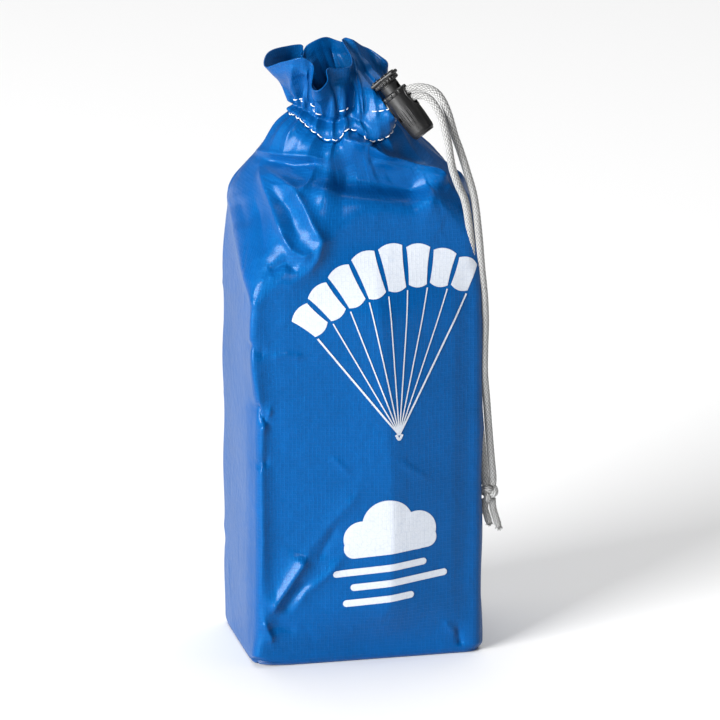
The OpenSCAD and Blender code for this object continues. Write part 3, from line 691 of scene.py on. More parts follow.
class Print:
    def __init__(self):
        self.v, self.f, self.uv, self.n = [], [], [], 0

    def patch(self, fn, n, m, lift=0.14):
        """fn(a, b) gives q, z for a, b from 0 to 1."""
        a, b = np.meshgrid(np.linspace(0, 1, n + 1), np.linspace(0, 1, m + 1))
        q, z = fn(a, b)
        self.layer = getattr(self, 'layer', 0) + 1
        p = on_bag(q, z, lift + 0.006 * (self.layer % 18))
        f, _ = grid_parts(p, False)
        self.v.append(p.reshape(-1, 3))
        self.f += (f + self.n).tolist()
        uvp = np.stack([q, z], -1).reshape(-1, 2)
        self.uv += uvp[f].reshape(-1, 2).tolist()
        self.n += p.shape[0] * p.shape[1]

    def stroke(self, pts, width, lift=0.14, taper=0.0, step=0.5):
        pts = np.asarray(pts, float)
        q = catmull(np.c_[pts, np.zeros(len(pts))], step)[:, :2] if len(pts) > 2 else np.stack([np.linspace(pts[0][i], pts[1][i], max(4, int(np.linalg.norm(pts[1] - pts[0]) / step))) for i in (0, 1)], 1)
        t = unit(np.gradient(q, axis=0))
        nrm = np.stack([-t[:, 1], t[:, 0]], 1)
        k = np.linspace(0, 1, len(q))
        w = width / 2 * np.ones(len(q))
        if taper:
            w *= np.clip(np.minimum(k, 1 - k) / taper, 0.12, 1) ** 0.6
        e0, e1 = q - nrm * w[:, None], q + nrm * w[:, None]
        m = max(2, int(width / 0.45))
        self.patch(lambda a, b: self._strip(a, b, e0, e1), len(q) - 1, m, lift)

    @staticmethod
    def _strip(a, b, e0, e1):
        x = a * (len(e0) - 1)
        i = np.clip(x.round().astype(int), 0, len(e0) - 1)
        p = e0[i] * (1 - b[..., None]) + e1[i] * b[..., None]
        return p[..., 0], p[..., 1]

    def make(self, name):
        return mesh_obj(name, np.vstack(self.v), self.f, self.uv)


# Upper print: a plain arched row of kite cells with lines that meet below.
up_print = Print()
cx0, cz0, tilt = 44.0, 137.5, math.radians(13.0)


def kite(x, y):
    """Place in the arched canopy: x across, y up from the arch's middle line."""
    ang = x / 46.0
    rad = 46.0 + y
    px, py = rad * np.sin(ang), rad * np.cos(ang) - 46.0
    return cx0 + px * math.cos(tilt) - py * math.sin(tilt), cz0 + px * math.sin(tilt) + py * math.cos(tilt)


cells, half_w = 8, 34.0
for i in range(cells):
    x0, x1 = -half_w + 2 * half_w * i / cells + 0.6, -half_w + 2 * half_w * (i + 1) / cells - 0.6
    hi, lo = 7.6 - 0.9 * abs(i - 3.5), -7.2 + 0.6 * abs(i - 3.5)

    def cell(a, b, x0=x0, x1=x1, hi=hi, lo=lo):
        # sides bow in, top and bottom bow out
        xm = x0 + (x1 - x0) * a
        pinch = 0.25 * (4 * b * (1 - b)) * (1 - 2 * a)
        y = lo + (hi - lo) * b + 1.1 * (4 * a * (1 - a)) * (2 * b - 1)
        return kite(xm + pinch, y)
    up_print.patch(cell, 16, 30)
foot = (49.2, 81.0)
for i in range(cells + 1):
    x = -half_w + 2 * half_w * i / cells
    y = -8.6 + 0.6 * abs(i - 4)
    a = kite(x * 0.985, y)
    up_print.stroke([a, foot], 0.62 if i in (0, cells) else 0.42, 0.15)
up_print.stroke([(foot[0] - 1.1, foot[1] + 0.2), (foot[0], foot[1] - 1.6), (foot[0] + 1.1, foot[1] + 0.2)], 0.9, 0.17)
upper_print = up_print.make("print_kite")

# Lower print: a plain cloud over three wind lines.
lo_print = Print()


def disc(c, r):
    lo_print.patch(lambda a, b: (c[0] + r * b * np.cos(2 * np.pi * a), c[1] + r * b * np.sin(2 * np.pi * a)), 48, 8)


def tilted(pts, cx=46.0, cz=39.0, a=5.0):
    c, s = math.cos(math.radians(a)), math.sin(math.radians(a))
    return [(cx + (x - cx) * c - (y - cz) * s, cz + (x - cx) * s + (y - cz) * c) for x, y in pts]


for x, y, r in ((37.4, 45.6, 6.4), (46.4, 49.6, 8.8), (56.2, 46.0, 6.9)):
    disc(tilted([(x, y)])[0], r)
for y, x0, x1, wid in ((42.6, 34.2, 59.6, 6.8), (34.4, 27.5, 57.5, 2.4), (29.0, 33.0, 64.5, 2.4), (23.6, 30.0, 52.0, 2.4)):
    ends = tilted([(x0, y), (x1, y)])
    lo_print.stroke(ends, wid)
    for e in ends:
        disc(e, wid / 2)
lower_print = lo_print.make("print_wind")

# ------------------------------------------------------------------ base
bs = np.linspace(0, 266, 241)[:-1]
bx, by = outline(bs, np.full(bs.shape, 2.0))
rings = []
for k, (r, z) in enumerate([(0.985, 1.25), (0.995, 0.7), (0.985, 0.2), (0.955, 0.05), (0.93, 0.1), (0.915, 0.28), (0.9, 0.12), (0.8, 0.1), (0.6, 0.22), (0.4, 0.3), (0.2, 0.32), (0.04, 0.33)]):
    pk = 0.06 * np.sin(bs * 0.9) + 0.05 * np.sin(bs * 2.3 + 1)
    rings.append(np.stack([bx * r * 0.985, by * r * 0.98, z + np.abs(pk) * (0.2 < r < 0.97)], -1))
BASE = np.array(rings)
bq = np.where(bs > 213, bs - 266, bs)
BASE[:, :, 2] += 0.9 * np.exp(-(bq / 9.0) ** 2)[None] * np.clip(np.linspace(1.3, -1.2, len(rings)), 0, 1)[:, None]
f, uv = grid_parts(BASE, True, np.repeat(np.linspace(0, 266, 241)[None], len(rings), 0), np.repeat(np.arange(len(rings))[:, None] * 4.0, 240, 1), flip=True)
base = mesh_obj("base_cloth", BASE.reshape(-1, 3), f, uv.reshape(-1, 2))
piping = tube("base_piping", np.stack([bx * 0.972, by * 0.965, 0.62 + 0.7 * np.exp(-(bq / 9.0) ** 2)], -1), 0.5, 10, closed=True)


# ------------------------------------------------------------------ cord lock trim
def lock_pt(x, y, h):
    """Lock frame: across the cord slot, and up from the barrel's closed end."""
    x, y, h = np.broadcast_arrays(x, y, h)
    return LOCK_AT + x[..., None] * LOCK_X + y[..., None] * LOCK_Y + (h - 13.5)[..., None] * LOCK_UP


def lathe(name, prof, n=96, wobble=None, rise=None):
    """Ring surface of (radius, height) pairs, closed back to the first; wobble(angle, i) adds to the radius."""
    a = np.linspace(0, 2 * np.pi, n, endpoint=False)
    P = np.array([lock_pt((r + (wobble(a, i) if wobble else 0)) * np.cos(a), (r + (wobble(a, i) if wobble else 0)) * np.sin(a), h + (rise(a, h) if rise else 0 * a))
                  for i, (r, h) in enumerate(prof + [prof[0]])])
    U = np.repeat((np.arange(n + 1) / n * 28)[None], len(P), 0)
    Vv = np.repeat(np.arange(len(P))[:, None] * 0.8, n, 1)
    f, uv = grid_parts(P, True, U, Vv)
    return mesh_obj(name, P.reshape(-1, 3), f, uv.reshape(-1, 2))


def block(name, x0, x1, y0, y1, h0, h1, bev=0.3):
    """Rounded block in the lock frame."""
    c = [(x, y, h) for x in (x0, x1) for y in (y0, y1) for h in (h0, h1)]
    v = np.array([lock_pt(*p) for p in c])
    ob = mesh_obj(name, v, [(0, 1, 3, 2), (4, 6, 7, 5), (0, 4, 5, 1), (2, 3, 7, 6), (0, 2, 6, 4), (1, 5, 7, 3)], np.zeros((24, 2)))
    m = ob.modifiers.new("round", "BEVEL")
    m.width, m.segments, m.limit_method = bev * MM, 3, "NONE"
    return ob


def teeth(a, i):
    near = 1 - smooth(np.abs((a + np.pi) % (2 * np.pi) - np.pi), 0.5, 0.8)      # flush beside the cord's way out
    out = np.where(np.abs(((a * 18 / (2 * np.pi)) % 1) - 0.5) < 0.24, 0.28, 0.0) * (1 if i in (2, 3, 4) else 0)
    return out * (1 - near) - (0.34 * near if i in (0, 1, 2, 3, 4, 9) else 0)


def over_slot(a, h):
    """The collar's lower edge steps up over the cord slot on both sides."""
    near = 1 - smooth(np.abs((a + np.pi / 2) % np.pi - np.pi / 2), 0.5, 0.75)
    return near * max(0.0, 16.62 + 0.25 * (h - 15.5) - h) if h < 16.8 else 0 * a


collar = lathe("lock_collar", [(4.35, 15.5), (4.62, 15.55), (4.66, 15.8), (4.66, 16.8), (4.6, 17.05), (4.2, 17.16), (3.62, 17.16), (3.6, 16.9), (3.75, 15.7)], 216, teeth, over_slot)
# Raised lips round the cord slot and the ribs down the barrel's back
lips = []
for s_ in (-1, 1):
    a = np.linspace(0, 2 * np.pi, 60, endpoint=False)
    yy, hh = 2.25 * np.cos(a), 13.5 + (3.55 if s_ < 0 else 3.7) * np.sin(a)
    if s_ > 0:
        hh = np.where(hh < 13.5, 13.5 + (hh - 13.5) * 1.24, hh)
    rad = np.sqrt(np.maximum(4.5 ** 2 - yy ** 2, 0)) + 0.05
    lips.append(tube("lip", lock_pt(s_ * (rad - (0.12 if s_ > 0 else 0)), yy, hh), 0.3 if s_ < 0 else 0.24, 10, closed=True))
lock_lips = join("lock_lips", lips)
ribs = []
for k in range(5):
    a = math.radians(62 + k * 14)
    hs = np.linspace(4.2, 11.4, 18)
    rr = 4.42 + 0.05 * np.sin(np.linspace(0, np.pi, 18))
    ribs.append(tube("rib", lock_pt(rr * math.cos(a), rr * math.sin(a), hs), np.sin(np.linspace(0.25, np.pi - 0.25, 18)) * 0.24, 8))
    ribs.append(tube("rib", lock_pt(rr * math.cos(-a), rr * math.sin(-a), hs), np.sin(np.linspace(0.25, np.pi - 0.25, 18)) * 0.24, 8))
lock_ribs = join("lock_ribs", ribs)
foot_ring = lathe("lock_foot_ring", [(2.9, -0.02), (3.4, -0.06), (3.7, 0.1), (3.45, 0.3), (2.95, 0.25)], 96)


def knurl(a, i):
    return 0.16 * np.cos(a * 24) * (1 if i in (1, 2, 3) else 0)


head_ring = lathe("plunger_knurl", [(4.15, 20.75), (4.38, 20.85), (4.42, 21.3), (4.38, 21.8), (4.1, 21.95), (3.9, 21.4)], 240, knurl)
pad = block("plunger_pad", -4.7, 4.7, -2.9, 2.9, 22.1, 23.3, 0.42)
pad_ribs = [block("plunger_rib_%d" % i, x - 0.32, x + 0.32, -2.5, 2.5, 23.1, 23.72, 0.16) for i, x in enumerate((-3.3, -1.65, 0, 1.65, 3.3))]
ears = [block("plunger_ear_%d" % i, x - 0.5, x + 0.5, -1.6, 1.6, 20.9, 22.4, 0.22) for i, x in enumerate((-3.8, 3.8))]
waist = lathe("plunger_waist", [(2.95, 19.7), (3.24, 19.8), (3.24, 20.3), (2.95, 20.4), (2.8, 20.0)], 96)

# spring: the wire with ground ends
zs0, zs1 = 1.4 + 0.35, 13.5 - 3.0 - 1.6 + 0.4 - 0.35
tw = np.linspace(0, 1, 420)
turn = 2 * np.pi * 6.2 * tw
hz = zs0 + (zs1 - zs0) * (smooth(tw, 0.02, 0.98) * 0.25 + tw * 0.75)
srad = (6.6 - 0.16 - 2.2 - 0.6) / 2
spring = tube("spring_wire", lock_pt(srad * np.cos(turn), srad * np.sin(turn), hz), 0.29, 14)

# ------------------------------------------------------------------ packed kite inside the bag
def roll_outline(t, inset):
    """Rounded spiral path, t in degrees."""
    a, b = 37.2 - inset, 23.7 - inset
    c, s = np.cos(np.radians(t)), np.sin(np.radians(t))
    n = 3.4
    return np.stack([a * np.sign(c) * np.abs(c) ** (2 / n), b * np.sign(s) * np.abs(s) ** (2 / n)], -1)


def rolled_sheet(name, off, t0, t1, h, thick, seed):
    g = np.random.default_rng(seed)
    t = np.arange(t0, t1, 3.0)
    zz = np.linspace(1.2, 1.2 + h, 74)
    base_xy = roll_outline(t, off + 3.5 * t / 360)
    nx = unit(np.stack([np.gradient(base_xy[:, 1]), -np.gradient(base_xy[:, 0])], -1))
    wob = np.zeros((len(zz), len(t)))
    for _ in range(9):
        wob += 0.05 * np.sin(np.radians(t)[None] * g.integers(2, 9) + zz[:, None] / g.uniform(6, 26) + g.uniform(0, 6.28))
    for _ in range(14):
        p0 = np.array([g.uniform(t0, t1) / 10, g.uniform(5, h)])
        d = np.array([g.normal(0, 3), g.normal(0, 10)])
        wob += crease([p0, p0 + d], g.choice([-1, 1]) * 0.18, 1.2, 0.3, coords=(np.repeat(t[None] / 10, len(zz), 0), np.repeat(zz[:, None], len(t), 1)))
    P = np.concatenate([base_xy[None] + nx[None] * wob[..., None], np.repeat(zz[:, None, None], len(t), 1)], -1)
    P[-1, :, 2] += 0.5 * np.sin(np.radians(t) * 5)
    L = np.r_[0, np.cumsum(np.linalg.norm(np.diff(base_xy, axis=0), axis=1))]
    U = np.repeat(L[None], len(zz), 0)
    f, uv = grid_parts(P, False, U, np.repeat(zz[:, None], len(t), 1))
    ob = mesh_obj(name, P.reshape(-1, 3), f, uv.reshape(-1, 2))
    m = ob.modifiers.new("cloth", "SOLIDIFY")
    m.thickness, m.offset = thick * MM, 0
    return ob


top_skin = rolled_sheet("kite_top_skin", 0.6, 0, 1080, 145, 0.3, 21)
bottom_skin = rolled_sheet("kite_bottom_skin", 2.6, 0, 1080, 145, 0.3, 22)
kite_ribs = join("kite_ribs", [rolled_sheet("rib_%d" % k, 1.6, 20 + 180 * k, 150 + 180 * k, 139, 0.0, 30 + k) for k in range(6)])
for ob in (kite_ribs,):
    m = ob.modifiers.new("cloth", "SOLIDIFY")
    m.thickness, m.offset = 0.25 * MM, 0


def ribbon_tail(name, y0, seed):
    g = np.random.default_rng(seed)
    pts, y, z = [], y0, 20.5
    for k in range(5):
        zs = np.linspace(20.6, 91.4, 60) if k % 2 == 0 else np.linspace(91.4, 20.6, 60)
        for q in zs:
            pts.append((y + 0.04 * math.sin(q / 3.0 + k), q))
        y += 0.65
    pts = np.array(pts)
    xs = np.linspace(-11, 11, 16)
    P = np.stack([np.repeat(xs[:, None], len(pts), 1), np.repeat(pts[None, :, 0], 16, 0), np.repeat(pts[None, :, 1], 16, 0)], -1)
    P[..., 1] += 0.05 * np.sin(P[..., 0] * 0.8 + P[..., 2] / 7 + g.uniform(0, 6))
    f, uv = grid_parts(P, False, np.repeat(np.arange(len(pts))[None] * 1.2, 16, 0), np.repeat(xs[:, None], len(pts), 1))
    ob = mesh_obj(name, P.reshape(-1, 3), f, uv.reshape(-1, 2))
    m = ob.modifiers.new("cloth", "SOLIDIFY")
    m.thickness, m.offset = 0.22 * MM, 0
    return ob


tail_l = ribbon_tail("kite_tail_left", -(1.8 + 2.6 + 0.3) - 3.0, 5)
tail_r = ribbon_tail("kite_tail_right", 1.8 + 2.6 + 0.3 + 0.25, 6)

# three keels, each a hemmed triangle with soft folds
keels = []
for k in range(3):
    y = -1.95 - 1.1 * k
    a, b = np.meshgrid(np.linspace(0, 1, 40), np.linspace(0, 1, 40))
    wtop = 20 - 2 * k
    half = 2 + (wtop - 2) * b
    x = (2 * a - 1) * half
    z = 105 + 36 * b
    yy = y + 0.1 * np.sin(x / 3 + k) * np.sin(z / 4.0)
    Pk = np.stack([x, yy, z], -1)
    f, uv = grid_parts(Pk, False, np.c_[x, x[:, -1:]], z)
    ob = mesh_obj("keel_%d" % k, Pk.reshape(-1, 3), f, uv.reshape(-1, 2))
    keels.append(ob)
keel_set = join("kite_keels", keels)
m = keel_set.modifiers.new("cloth", "SOLIDIFY")
m.thickness, m.offset = 0.4 * MM, 0

# bridle hank: one line in round-ended loops, tied at the middle
loops = []
for k in range(15):
    r = 5.4 + 0.72 * (k % 5)
    y = 0.9 + 1.45 * (k // 5)
    for j in range(56):
        a = 2 * math.pi * j / 56
        cx_, cz_ = r * math.cos(a), r * math.sin(a)
        loops.append([(12 if cx_ > 0 else -12) + cx_ if abs(math.cos(a)) > 0.02 else 0, y + 0.1 * math.sin(3 * a + k), 122 + cz_])
hank = tube("bridle_line", catmull(loops, 0.9), 0.36, 8)
ties = [tube("tie_%d" % i, np.stack([np.full(44, x) + 0.12 * np.sin(np.linspace(0, 9, 44)), 2.4 + 2.6 * np.cos(np.linspace(0, 6.283, 44, endpoint=False)), 122 + s_ * 6.8 + 2.6 * np.sin(np.linspace(0, 6.283, 44, endpoint=False))], -1), 0.42, 8, closed=True)
        for i, (x, s_) in enumerate(((0.0, 1), (0.0, -1)))]
hank = join("bridle_hank_line", [hank] + ties)

# flying line: turns wound over the winder's web
wound = []
web_h, wt = 56.0, 3.6
for layer in range(3):
    hh, dd = web_h / 2 + 0.4 + 0.45 + 0.78 * layer, wt / 2 + 0.45 + 0.78 * layer
    nt = 27 - layer
    for j in range(nt * 40):
        a = 2 * math.pi * j / 40
        xx = -11.0 + 22.0 * (j / (nt * 40.0))
        xx = xx if layer % 2 == 0 else -xx
        ca, sa = math.cos(a), math.sin(a)
        wound.append([xx, dd * np.sign(ca) * abs(ca) ** 0.35, 54 + hh * np.sign(sa) * abs(sa) ** 0.8])
line_wound = tube("flying_line_wound", catmull(np.array(wound)[::2], 1.1), 0.4, 7)

# ------------------------------------------------------------------ materials
class Mat:
    def __init__(self, name, color, rough, **sockets):
        self.m = bpy.data.materials.new(name)
        self.m.use_nodes = True
        self.t = self.m.node_tree
        self.t.nodes.clear()
        self.out = self.t.nodes.new("ShaderNodeOutputMaterial")
        self.b = self.t.nodes.new("ShaderNodeBsdfPrincipled")
        self.t.links.new(self.b.outputs[0], self.out.inputs[0])
        self.b.inputs["Base Color"].default_value = (*color, 1)
        self.b.inputs["Roughness"].default_value = rough
        for k, v in sockets.items():
            self.b.inputs[k.replace("_", " ")].default_value = v
        self.m.diffuse_color = (*color, 1)
        self.color = color

    def node(self, kind, ins=None, **props):
        n = self.t.nodes.new(kind)
        for k, v in props.items():
            setattr(n, k, v)
        for k, v in (ins or {}).items():
            if hasattr(v, "is_output"):
                self.t.links.new(v, n.inputs[k])
            else:
                n.inputs[k].default_value = v
        return n

    def math(self, op, a, b=0.0, c=0.0):
        n = self.t.nodes.new("ShaderNodeMath")
        n.operation = op
        for i, x in enumerate((a, b, c)):
            if hasattr(x, "is_output"):
                self.t.links.new(x, n.inputs[i])
            else:
                n.inputs[i].default_value = x
        return n.outputs[0]

    def uv(self):
        t = self.node("ShaderNodeUVMap", uv_map="uv")
        s = self.node("ShaderNodeSeparateXYZ", {0: t.outputs[0]})
        return t.outputs[0], s.outputs[0], s.outputs[1]

    def obj(self, scale=1000.0):
        t = self.node("ShaderNodeTexCoord")
        mp = self.node("ShaderNodeMapping", {0: t.outputs["Object"]})
        mp.inputs["Scale"].default_value = (scale, scale, scale)
        return mp.outputs[0]

    def noise(self, vec, scale, detail=3.0, rough=0.5):
        return self.node("ShaderNodeTexNoise", {"Vector": vec, "Scale": scale, "Detail": detail, "Roughness": rough}).outputs["Fac"]

    def ramp(self, fac, stops):
        n = self.node("ShaderNodeValToRGB", {"Fac": fac})
        e = n.color_ramp.elements
        while len(e) < len(stops):
            e.new(0.5)
        for el, (p, c) in zip(e, stops):
            el.position = p
            el.color = (*c, 1) if len(c) == 3 else c
        return n.outputs[0]

    def to(self, socket, out):
        self.t.links.new(out, self.b.inputs[socket])

    def bump(self, height, dist, strength=1.0, normal=None):
        n = self.node("ShaderNodeBump", {"Height": height, "Distance": dist, "Strength": strength})
        if normal is not None:
            self.t.links.new(normal, n.inputs["Normal"])
        return n.outputs[0]


def shade(c, k):
    return tuple(min(1.0, x * k) for x in c)


def ripstop(name, color, rough=0.34, grid=1.36, thread=0.34, coat=0.0, wear=0.5, sheen=0.0, tint=(1, 1, 1)):
    M = Mat(name, color, rough, Coat_Weight=coat, Coat_Roughness=0.2, IOR=1.47, Sheen_Weight=sheen, Specular_Tint=(*tint, 1))
    M.b.inputs["Sheen Roughness"].default_value = 0.45
    _, u_, v_ = M.uv()
    o = M.obj()
    wob = M.math("MULTIPLY", M.math("SUBTRACT", M.noise(o, 0.11, 2), 0.5), 1.1)
    u_, v_ = M.math("ADD", u_, wob), M.math("ADD", v_, M.math("MULTIPLY", wob, -0.7))
    # ripstop grid: a doubled thread every few millimetres, both ways
    def line(x):
        f_ = M.math("PINGPONG", M.math("DIVIDE", x, grid), 0.5)
        return M.math("SMOOTH_MIN", M.math("MULTIPLY", M.math("SUBTRACT", 0.13, f_), 9.0), 1.0, 0.1)
    g = M.math("MAXIMUM", M.math("MAXIMUM", line(u_), line(v_)), 0.0)
    # plain weave
    a = M.math("SINE", M.math("MULTIPLY", u_, 2 * math.pi / thread))
    b = M.math("SINE", M.math("MULTIPLY", v_, 2 * math.pi / thread))
    weave = M.math("ADD", M.math("MULTIPLY", M.math("MULTIPLY", a, b), 0.5), 0.5)
    micro = M.noise(o, 0.42, 5, 0.55)
    crinkle = M.node("ShaderNodeTexVoronoi", {"Vector": o, "Scale": 0.17, "Randomness": 1.0}, feature="DISTANCE_TO_EDGE").outputs["Distance"]
    crinkle = M.math("MINIMUM", M.math("MULTIPLY", crinkle, 2.4), 1.0)
    broad = M.noise(o, 0.045, 3)
    n1 = M.bump(weave, 0.00003, 0.5)
    n2 = M.bump(g, 0.00006, 0.75, n1)
    n3 = M.bump(micro, 0.00035, 0.55, n2)
    n4 = M.bump(crinkle, 0.00022, 0.3 * wear + 0.1, n3)
    M.to("Normal", n4)
    col = M.ramp(M.math("ADD", M.math("MULTIPLY", broad, 0.6), M.math("MULTIPLY", micro, 0.4)), [(0.25, shade(color, 0.84)), (0.5, color), (0.75, shade(color, 1.14))])
    # painted sheen: along the ripstop grid threads the base colour is mixed towards a lighter blue, 1.5 times the cloth
    # colour
    grid_sheen = M.node("ShaderNodeMix", {"Factor": M.math("MULTIPLY", g, 0.22), 6: col, 7: (*shade(color, 1.5), 1)}, data_type="RGBA")
    M.to("Base Color", grid_sheen.outputs[2])
    r = M.math("ADD", M.math("MULTIPLY", micro, 0.16), M.math("ADD", M.math("MULTIPLY", g, 0.05), rough - 0.08))
    M.to("Roughness", r)
    return M.m


def braid_mat(name, color, per=1.55, carriers=8.0, depth=0.00022):
    M = Mat(name, color, 0.62, Sheen_Weight=0.25, IOR=1.46)
    M.b.inputs["Subsurface Weight"].default_value = 0.12
    M.b.inputs["Subsurface Radius"].default_value = (0.0008, 0.0008, 0.0008)
    _, u_, v_ = M.uv()
    o = M.obj()
    L = M.math("DIVIDE", v_, per)
    A = M.math("MULTIPLY", u_, carriers)
    a, b = M.math("ADD", A, L), M.math("SUBTRACT", A, L)
    fa, fb = M.math("FLOOR", a), M.math("FLOOR", b)
    over = M.math("PINGPONG", M.math("ADD", fa, fb), 1.0)
    pa = M.math("ABSOLUTE", M.math("SINE", M.math("MULTIPLY", a, math.pi)))
    pb = M.math("ABSOLUTE", M.math("SINE", M.math("MULTIPLY", b, math.pi)))
    yarn = M.math("ADD", M.math("MULTIPLY", pa, over), M.math("MULTIPLY", pb, M.math("SUBTRACT", 1.0, over)))
    fib = M.math("SINE", M.math("MULTIPLY", M.math("ADD", M.math("MULTIPLY", a, 34.0), M.math("MULTIPLY", M.noise(o, 1.6, 2), 5.0)), 1.0))
    fuzz = M.noise(o, 3.2, 4, 0.6)
    h = M.math("ADD", M.math("POWER", yarn, 0.6), M.math("MULTIPLY", fib, 0.08))
    M.to("Normal", M.bump(fuzz, 0.00006, 0.5, M.bump(h, depth, 0.9)))
    # painted shade: the cord's colour darkens to about a fifth of its white in the grooves between the yarns, where the
    # yarn relief is low
    M.to("Base Color", M.ramp(M.math("ADD", M.math("MULTIPLY", yarn, 0.85), M.math("MULTIPLY", fuzz, 0.22)),
                              [(0.25, shade(color, 0.22)), (0.55, shade(color, 0.62)), (0.92, color)]))
    M.to("Roughness", M.math("ADD", M.math("MULTIPLY", fuzz, 0.25), 0.5))
    return M.m


def thread_mat(name, color, twist=1.1):
    M = Mat(name, color, 0.6, Sheen_Weight=0.2)
    _, u_, v_ = M.uv()
    o = M.obj()
    s = M.math("SINE", M.math("ADD", M.math("MULTIPLY", u_, 4 * math.pi), M.math("MULTIPLY", v_, 2 * math.pi / twist)))
    fuzz = M.noise(o, 4.0, 4, 0.6)
    M.to("Normal", M.bump(fuzz, 0.00003, 0.4, M.bump(s, 0.00006, 0.7)))
    # painted shade: the thread's colour darkens in the twist's grooves, where the twist wave used for the bump is low
    M.to("Base Color", M.ramp(M.math("ADD", M.math("MULTIPLY", s, 0.3), M.math("ADD", M.math("MULTIPLY", fuzz, 0.3), 0.4)),
                              [(0.1, shade(color, 0.62)), (0.45, shade(color, 0.9)), (0.8, color)]))
    M.to("Roughness", M.math("ADD", M.math("MULTIPLY", fuzz, 0.2), 0.48))
    return M.m


def plastic_mat(name, color, rough=0.36, grain=2.2, scuff=0.5):
    M = Mat(name, color, rough, IOR=1.5)
    o = M.obj()
    g = M.noise(o, grain, 4, 0.6)
    big = M.noise(o, 0.22, 3)
    scr = M.node("ShaderNodeTexWave", {"Vector": o, "Scale": 0.9, "Distortion": 14.0, "Detail": 3.0, "Detail Scale": 2.2}, wave_type="BANDS", bands_direction="DIAGONAL").outputs["Fac"]
    scr = M.math("POWER", scr, 14.0)
    M.to("Normal", M.bump(scr, 0.00002, 0.35 * scuff, M.bump(g, 0.00004, 0.45)))
    M.to("Roughness", M.math("ADD", M.math("MULTIPLY", g, 0.12), M.math("ADD", M.math("MULTIPLY", big, 0.14), M.math("ADD", M.math("MULTIPLY", scr, 0.1), rough - 0.14))))
    M.to("Base Color", M.ramp(M.math("ADD", M.math("MULTIPLY", scr, 0.25), big), [(0.3, shade(color, 0.8)), (0.55, color), (0.95, shade(color, 1.7))]))
    return M.m


def steel_mat(name):
    M = Mat(name, (0.6, 0.6, 0.62), 0.28, Metallic=1.0)
    _, u_, v_ = M.uv()
    o = M.obj()
    d = M.noise(o, 2.6, 3)
    s = M.math("SINE", M.math("MULTIPLY", u_, 90.0))
    M.to("Normal", M.bump(M.math("ADD", s, d), 0.00001, 0.4))
    M.to("Roughness", M.math("ADD", M.math("MULTIPLY", d, 0.25), 0.16))
    M.to("Base Color", M.ramp(d, [(0.3, (0.45, 0.45, 0.47)), (0.6, (0.66, 0.66, 0.68))]))
    return M.m


def ink_mat(name):
    color = (0.44, 0.47, 0.52)
    M = Mat(name, color, 0.46, IOR=1.42)
    _, u_, v_ = M.uv()
    o = M.obj()
    f_ = lambda x: M.math("MAXIMUM", M.math("MULTIPLY", M.math("SUBTRACT", 0.13, M.math("PINGPONG", M.math("DIVIDE", x, 1.36), 0.5)), 7.0), 0.0)
    g = M.math("MAXIMUM", f_(u_), f_(v_))
    fine = M.noise(o, 1.4, 4, 0.6)
    crack = M.node("ShaderNodeTexVoronoi", {"Vector": o, "Scale": 0.5, "Randomness": 1.0}, feature="DISTANCE_TO_EDGE").outputs["Distance"]
    crack = M.math("MINIMUM", M.math("MULTIPLY", crack, 9.0), 1.0)
    M.to("Normal", M.bump(g, 0.00005, 0.6, M.bump(fine, 0.0001, 0.35)))
    M.to("Base Color", M.ramp(M.math("ADD", M.math("MULTIPLY", fine, 0.35), M.math("MULTIPLY", crack, 0.22)), [(0.12, (0.36, 0.4, 0.48)), (0.28, shade(color, 0.94)), (0.55, color)]))
    M.to("Roughness", M.math("ADD", M.math("MULTIPLY", fine, 0.2), 0.34))
    return M.m


BLUE = (0.0003, 0.050, 0.190)
m_bag = ripstop("bag_ripstop", BLUE, 0.42, coat=0.16, tint=(0.01, 0.45, 1.0))
m_base = ripstop("base_ripstop", shade(BLUE, 0.8), 0.45, coat=0.1, wear=1.0)
m_red = ripstop("canopy_red_ripstop", (0.62, 0.035, 0.03), 0.42, coat=0.15)
m_yellow = ripstop("canopy_yellow_ripstop", (0.85, 0.5, 0.03), 0.42, coat=0.15)
m_cblue = ripstop("canopy_blue_ripstop", (0.02, 0.12, 0.45), 0.42, coat=0.15)
m_cord = braid_mat("cord_braid", (0.40, 0.40, 0.395))
m_thread = thread_mat("stitch_thread", (0.9, 0.9, 0.93))
m_line = thread_mat("kite_line", (0.8, 0.8, 0.74), 0.8)
m_black = plastic_mat("lock_black", (0.0045, 0.0045, 0.0048), 0.36)
m_black2 = plastic_mat("plunger_black", (0.0055, 0.0055, 0.0058), 0.42, grain=2.8)
m_steel = steel_mat("spring_wire_steel")
m_orange = plastic_mat("winder_orange", (0.8, 0.17, 0.02), 0.3, grain=1.2)
m_ink = ink_mat("print_ink")


def paint(ob, mat):
    ob.data.materials.clear()
    ob.data.materials.append(mat)


def piece(ob, mat, body, slot_name, *nodes):
    paint(ob, mat)
    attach(ob, body)
    if nodes:
        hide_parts(*nodes)


piece(bag, m_bag, "bag", "bag_cloth", "bag_body")
piece(casing, m_bag, "bag", "bag_cloth", "mouth_casing")
piece(base, m_base, "bag", "bag_cloth", "base_panel")
piece(piping, m_base, "bag", "bag_cloth")
piece(stitch_low, m_thread, "bag", "thread", "casing_stitching")
piece(stitch_high, m_thread, "bag", "thread", "casing_stitching")
piece(upper_print, m_ink, "bag", "thread")
piece(lower_print, m_ink, "bag", "thread")
piece(strand_outer, m_cord, "bag", "cord", "drawcord_strand_outer")
piece(strand_inner, m_cord, "bag", "cord", "drawcord_strand_inner")
piece(cord_loop, m_cord, "bag", "cord", "drawcord_loop")
piece(knot, m_cord, "bag", "cord", "drawcord_knot")
piece(cord_tails, m_cord, "bag", "cord", "drawcord_tails")
piece(top_skin, m_red, "bag", "canopy_red", "canopy_top_skin")
piece(bottom_skin, m_yellow, "bag", "canopy_yellow", "canopy_bottom_skin")
piece(kite_ribs, m_cblue, "bag", "canopy_blue", "cell_ribs")
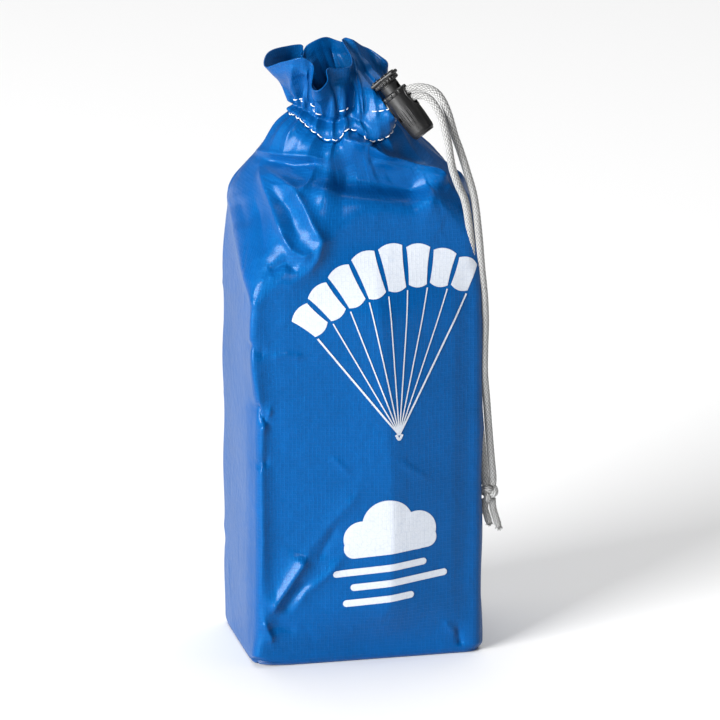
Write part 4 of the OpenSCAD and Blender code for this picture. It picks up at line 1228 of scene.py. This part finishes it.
piece(keel_set, m_cblue, "bag", "canopy_blue", "bridle_keels")
piece(hank, m_line, "bag", "line", "bridle_hank")
piece(tail_l, m_yellow, "bag", "canopy_yellow", "tail_left")
piece(tail_r, m_red, "bag", "canopy_red", "tail_right")
piece(line_wound, m_line, "bag", "line", "flying_line")
for ob in (collar, lock_lips, lock_ribs, foot_ring):
    piece(ob, m_black, "lock", "lock_plastic")
for ob in [head_ring, pad, waist] + pad_ribs + ears:
    piece(ob, m_black2, "plunger", "lock_plastic")
paint(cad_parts["lock_barrel"], m_black)
paint(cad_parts["lock_plunger"], m_black2)
paint(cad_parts["line_winder"], m_orange)
paint(spring, m_steel)
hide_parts("lock_spring")
[x * MM for x in lock_pt(0.0, 0.0, zs0).ravel()]
[x * MM for x in lock_pt(0.0, 0.0, zs1).ravel()]
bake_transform(spring)


def length(q):
    return float(np.linalg.norm(np.diff(q, axis=0), axis=1).sum()) * MM


# ------------------------------------------------------------------ studio
def plane(name, size, z):
    ob = mesh_obj(name, [(-size, -size, z), (size, -size, z), (size, size, z), (-size, size, z)], [(0, 1, 2, 3)], [(0, 0), (1, 0), (1, 1), (0, 1)], False)
    return ob


floor = plane("floor", 6000, 0)
FM = Mat("floor_pale", (0.9, 0.9, 0.9), 0.7)
paint(floor, FM.m)


def area(name, loc, aim, size, power, size_y=None, color=(1, 1, 1)):
    d = bpy.data.lights.new(name, "AREA")
    d.energy, d.size, d.color = power, size, color
    if size_y:
        d.shape, d.size_y = "RECTANGLE", size_y
    ob = bpy.data.objects.new(name, d)
    ob.location = loc
    ob.rotation_euler = (Vector(aim) - Vector(loc)).to_track_quat("-Z", "Y").to_euler()
    scene.collection.objects.link(ob)
    return ob


area("key", (-2.55, -1.55, 0.76), (0, 0, 0.1), 1.5, 235.0)
area("fill", (-0.45, -2.6, 0.95), (0, 0, 0.12), 0.6, 9.0)
area("top", (0.2, 0.7, 2.4), (0.1, 0.4, 0.0), 2.2, 42.0)
world = bpy.data.worlds.new("studio")
world.use_nodes = True
world.node_tree.nodes["Background"].inputs[0].default_value = (1, 1, 1, 1)
world.node_tree.nodes["Background"].inputs[1].default_value = 0.18
scene.world = world

# ------------------------------------------------------------------ scene update
bpy.context.view_layer.update()
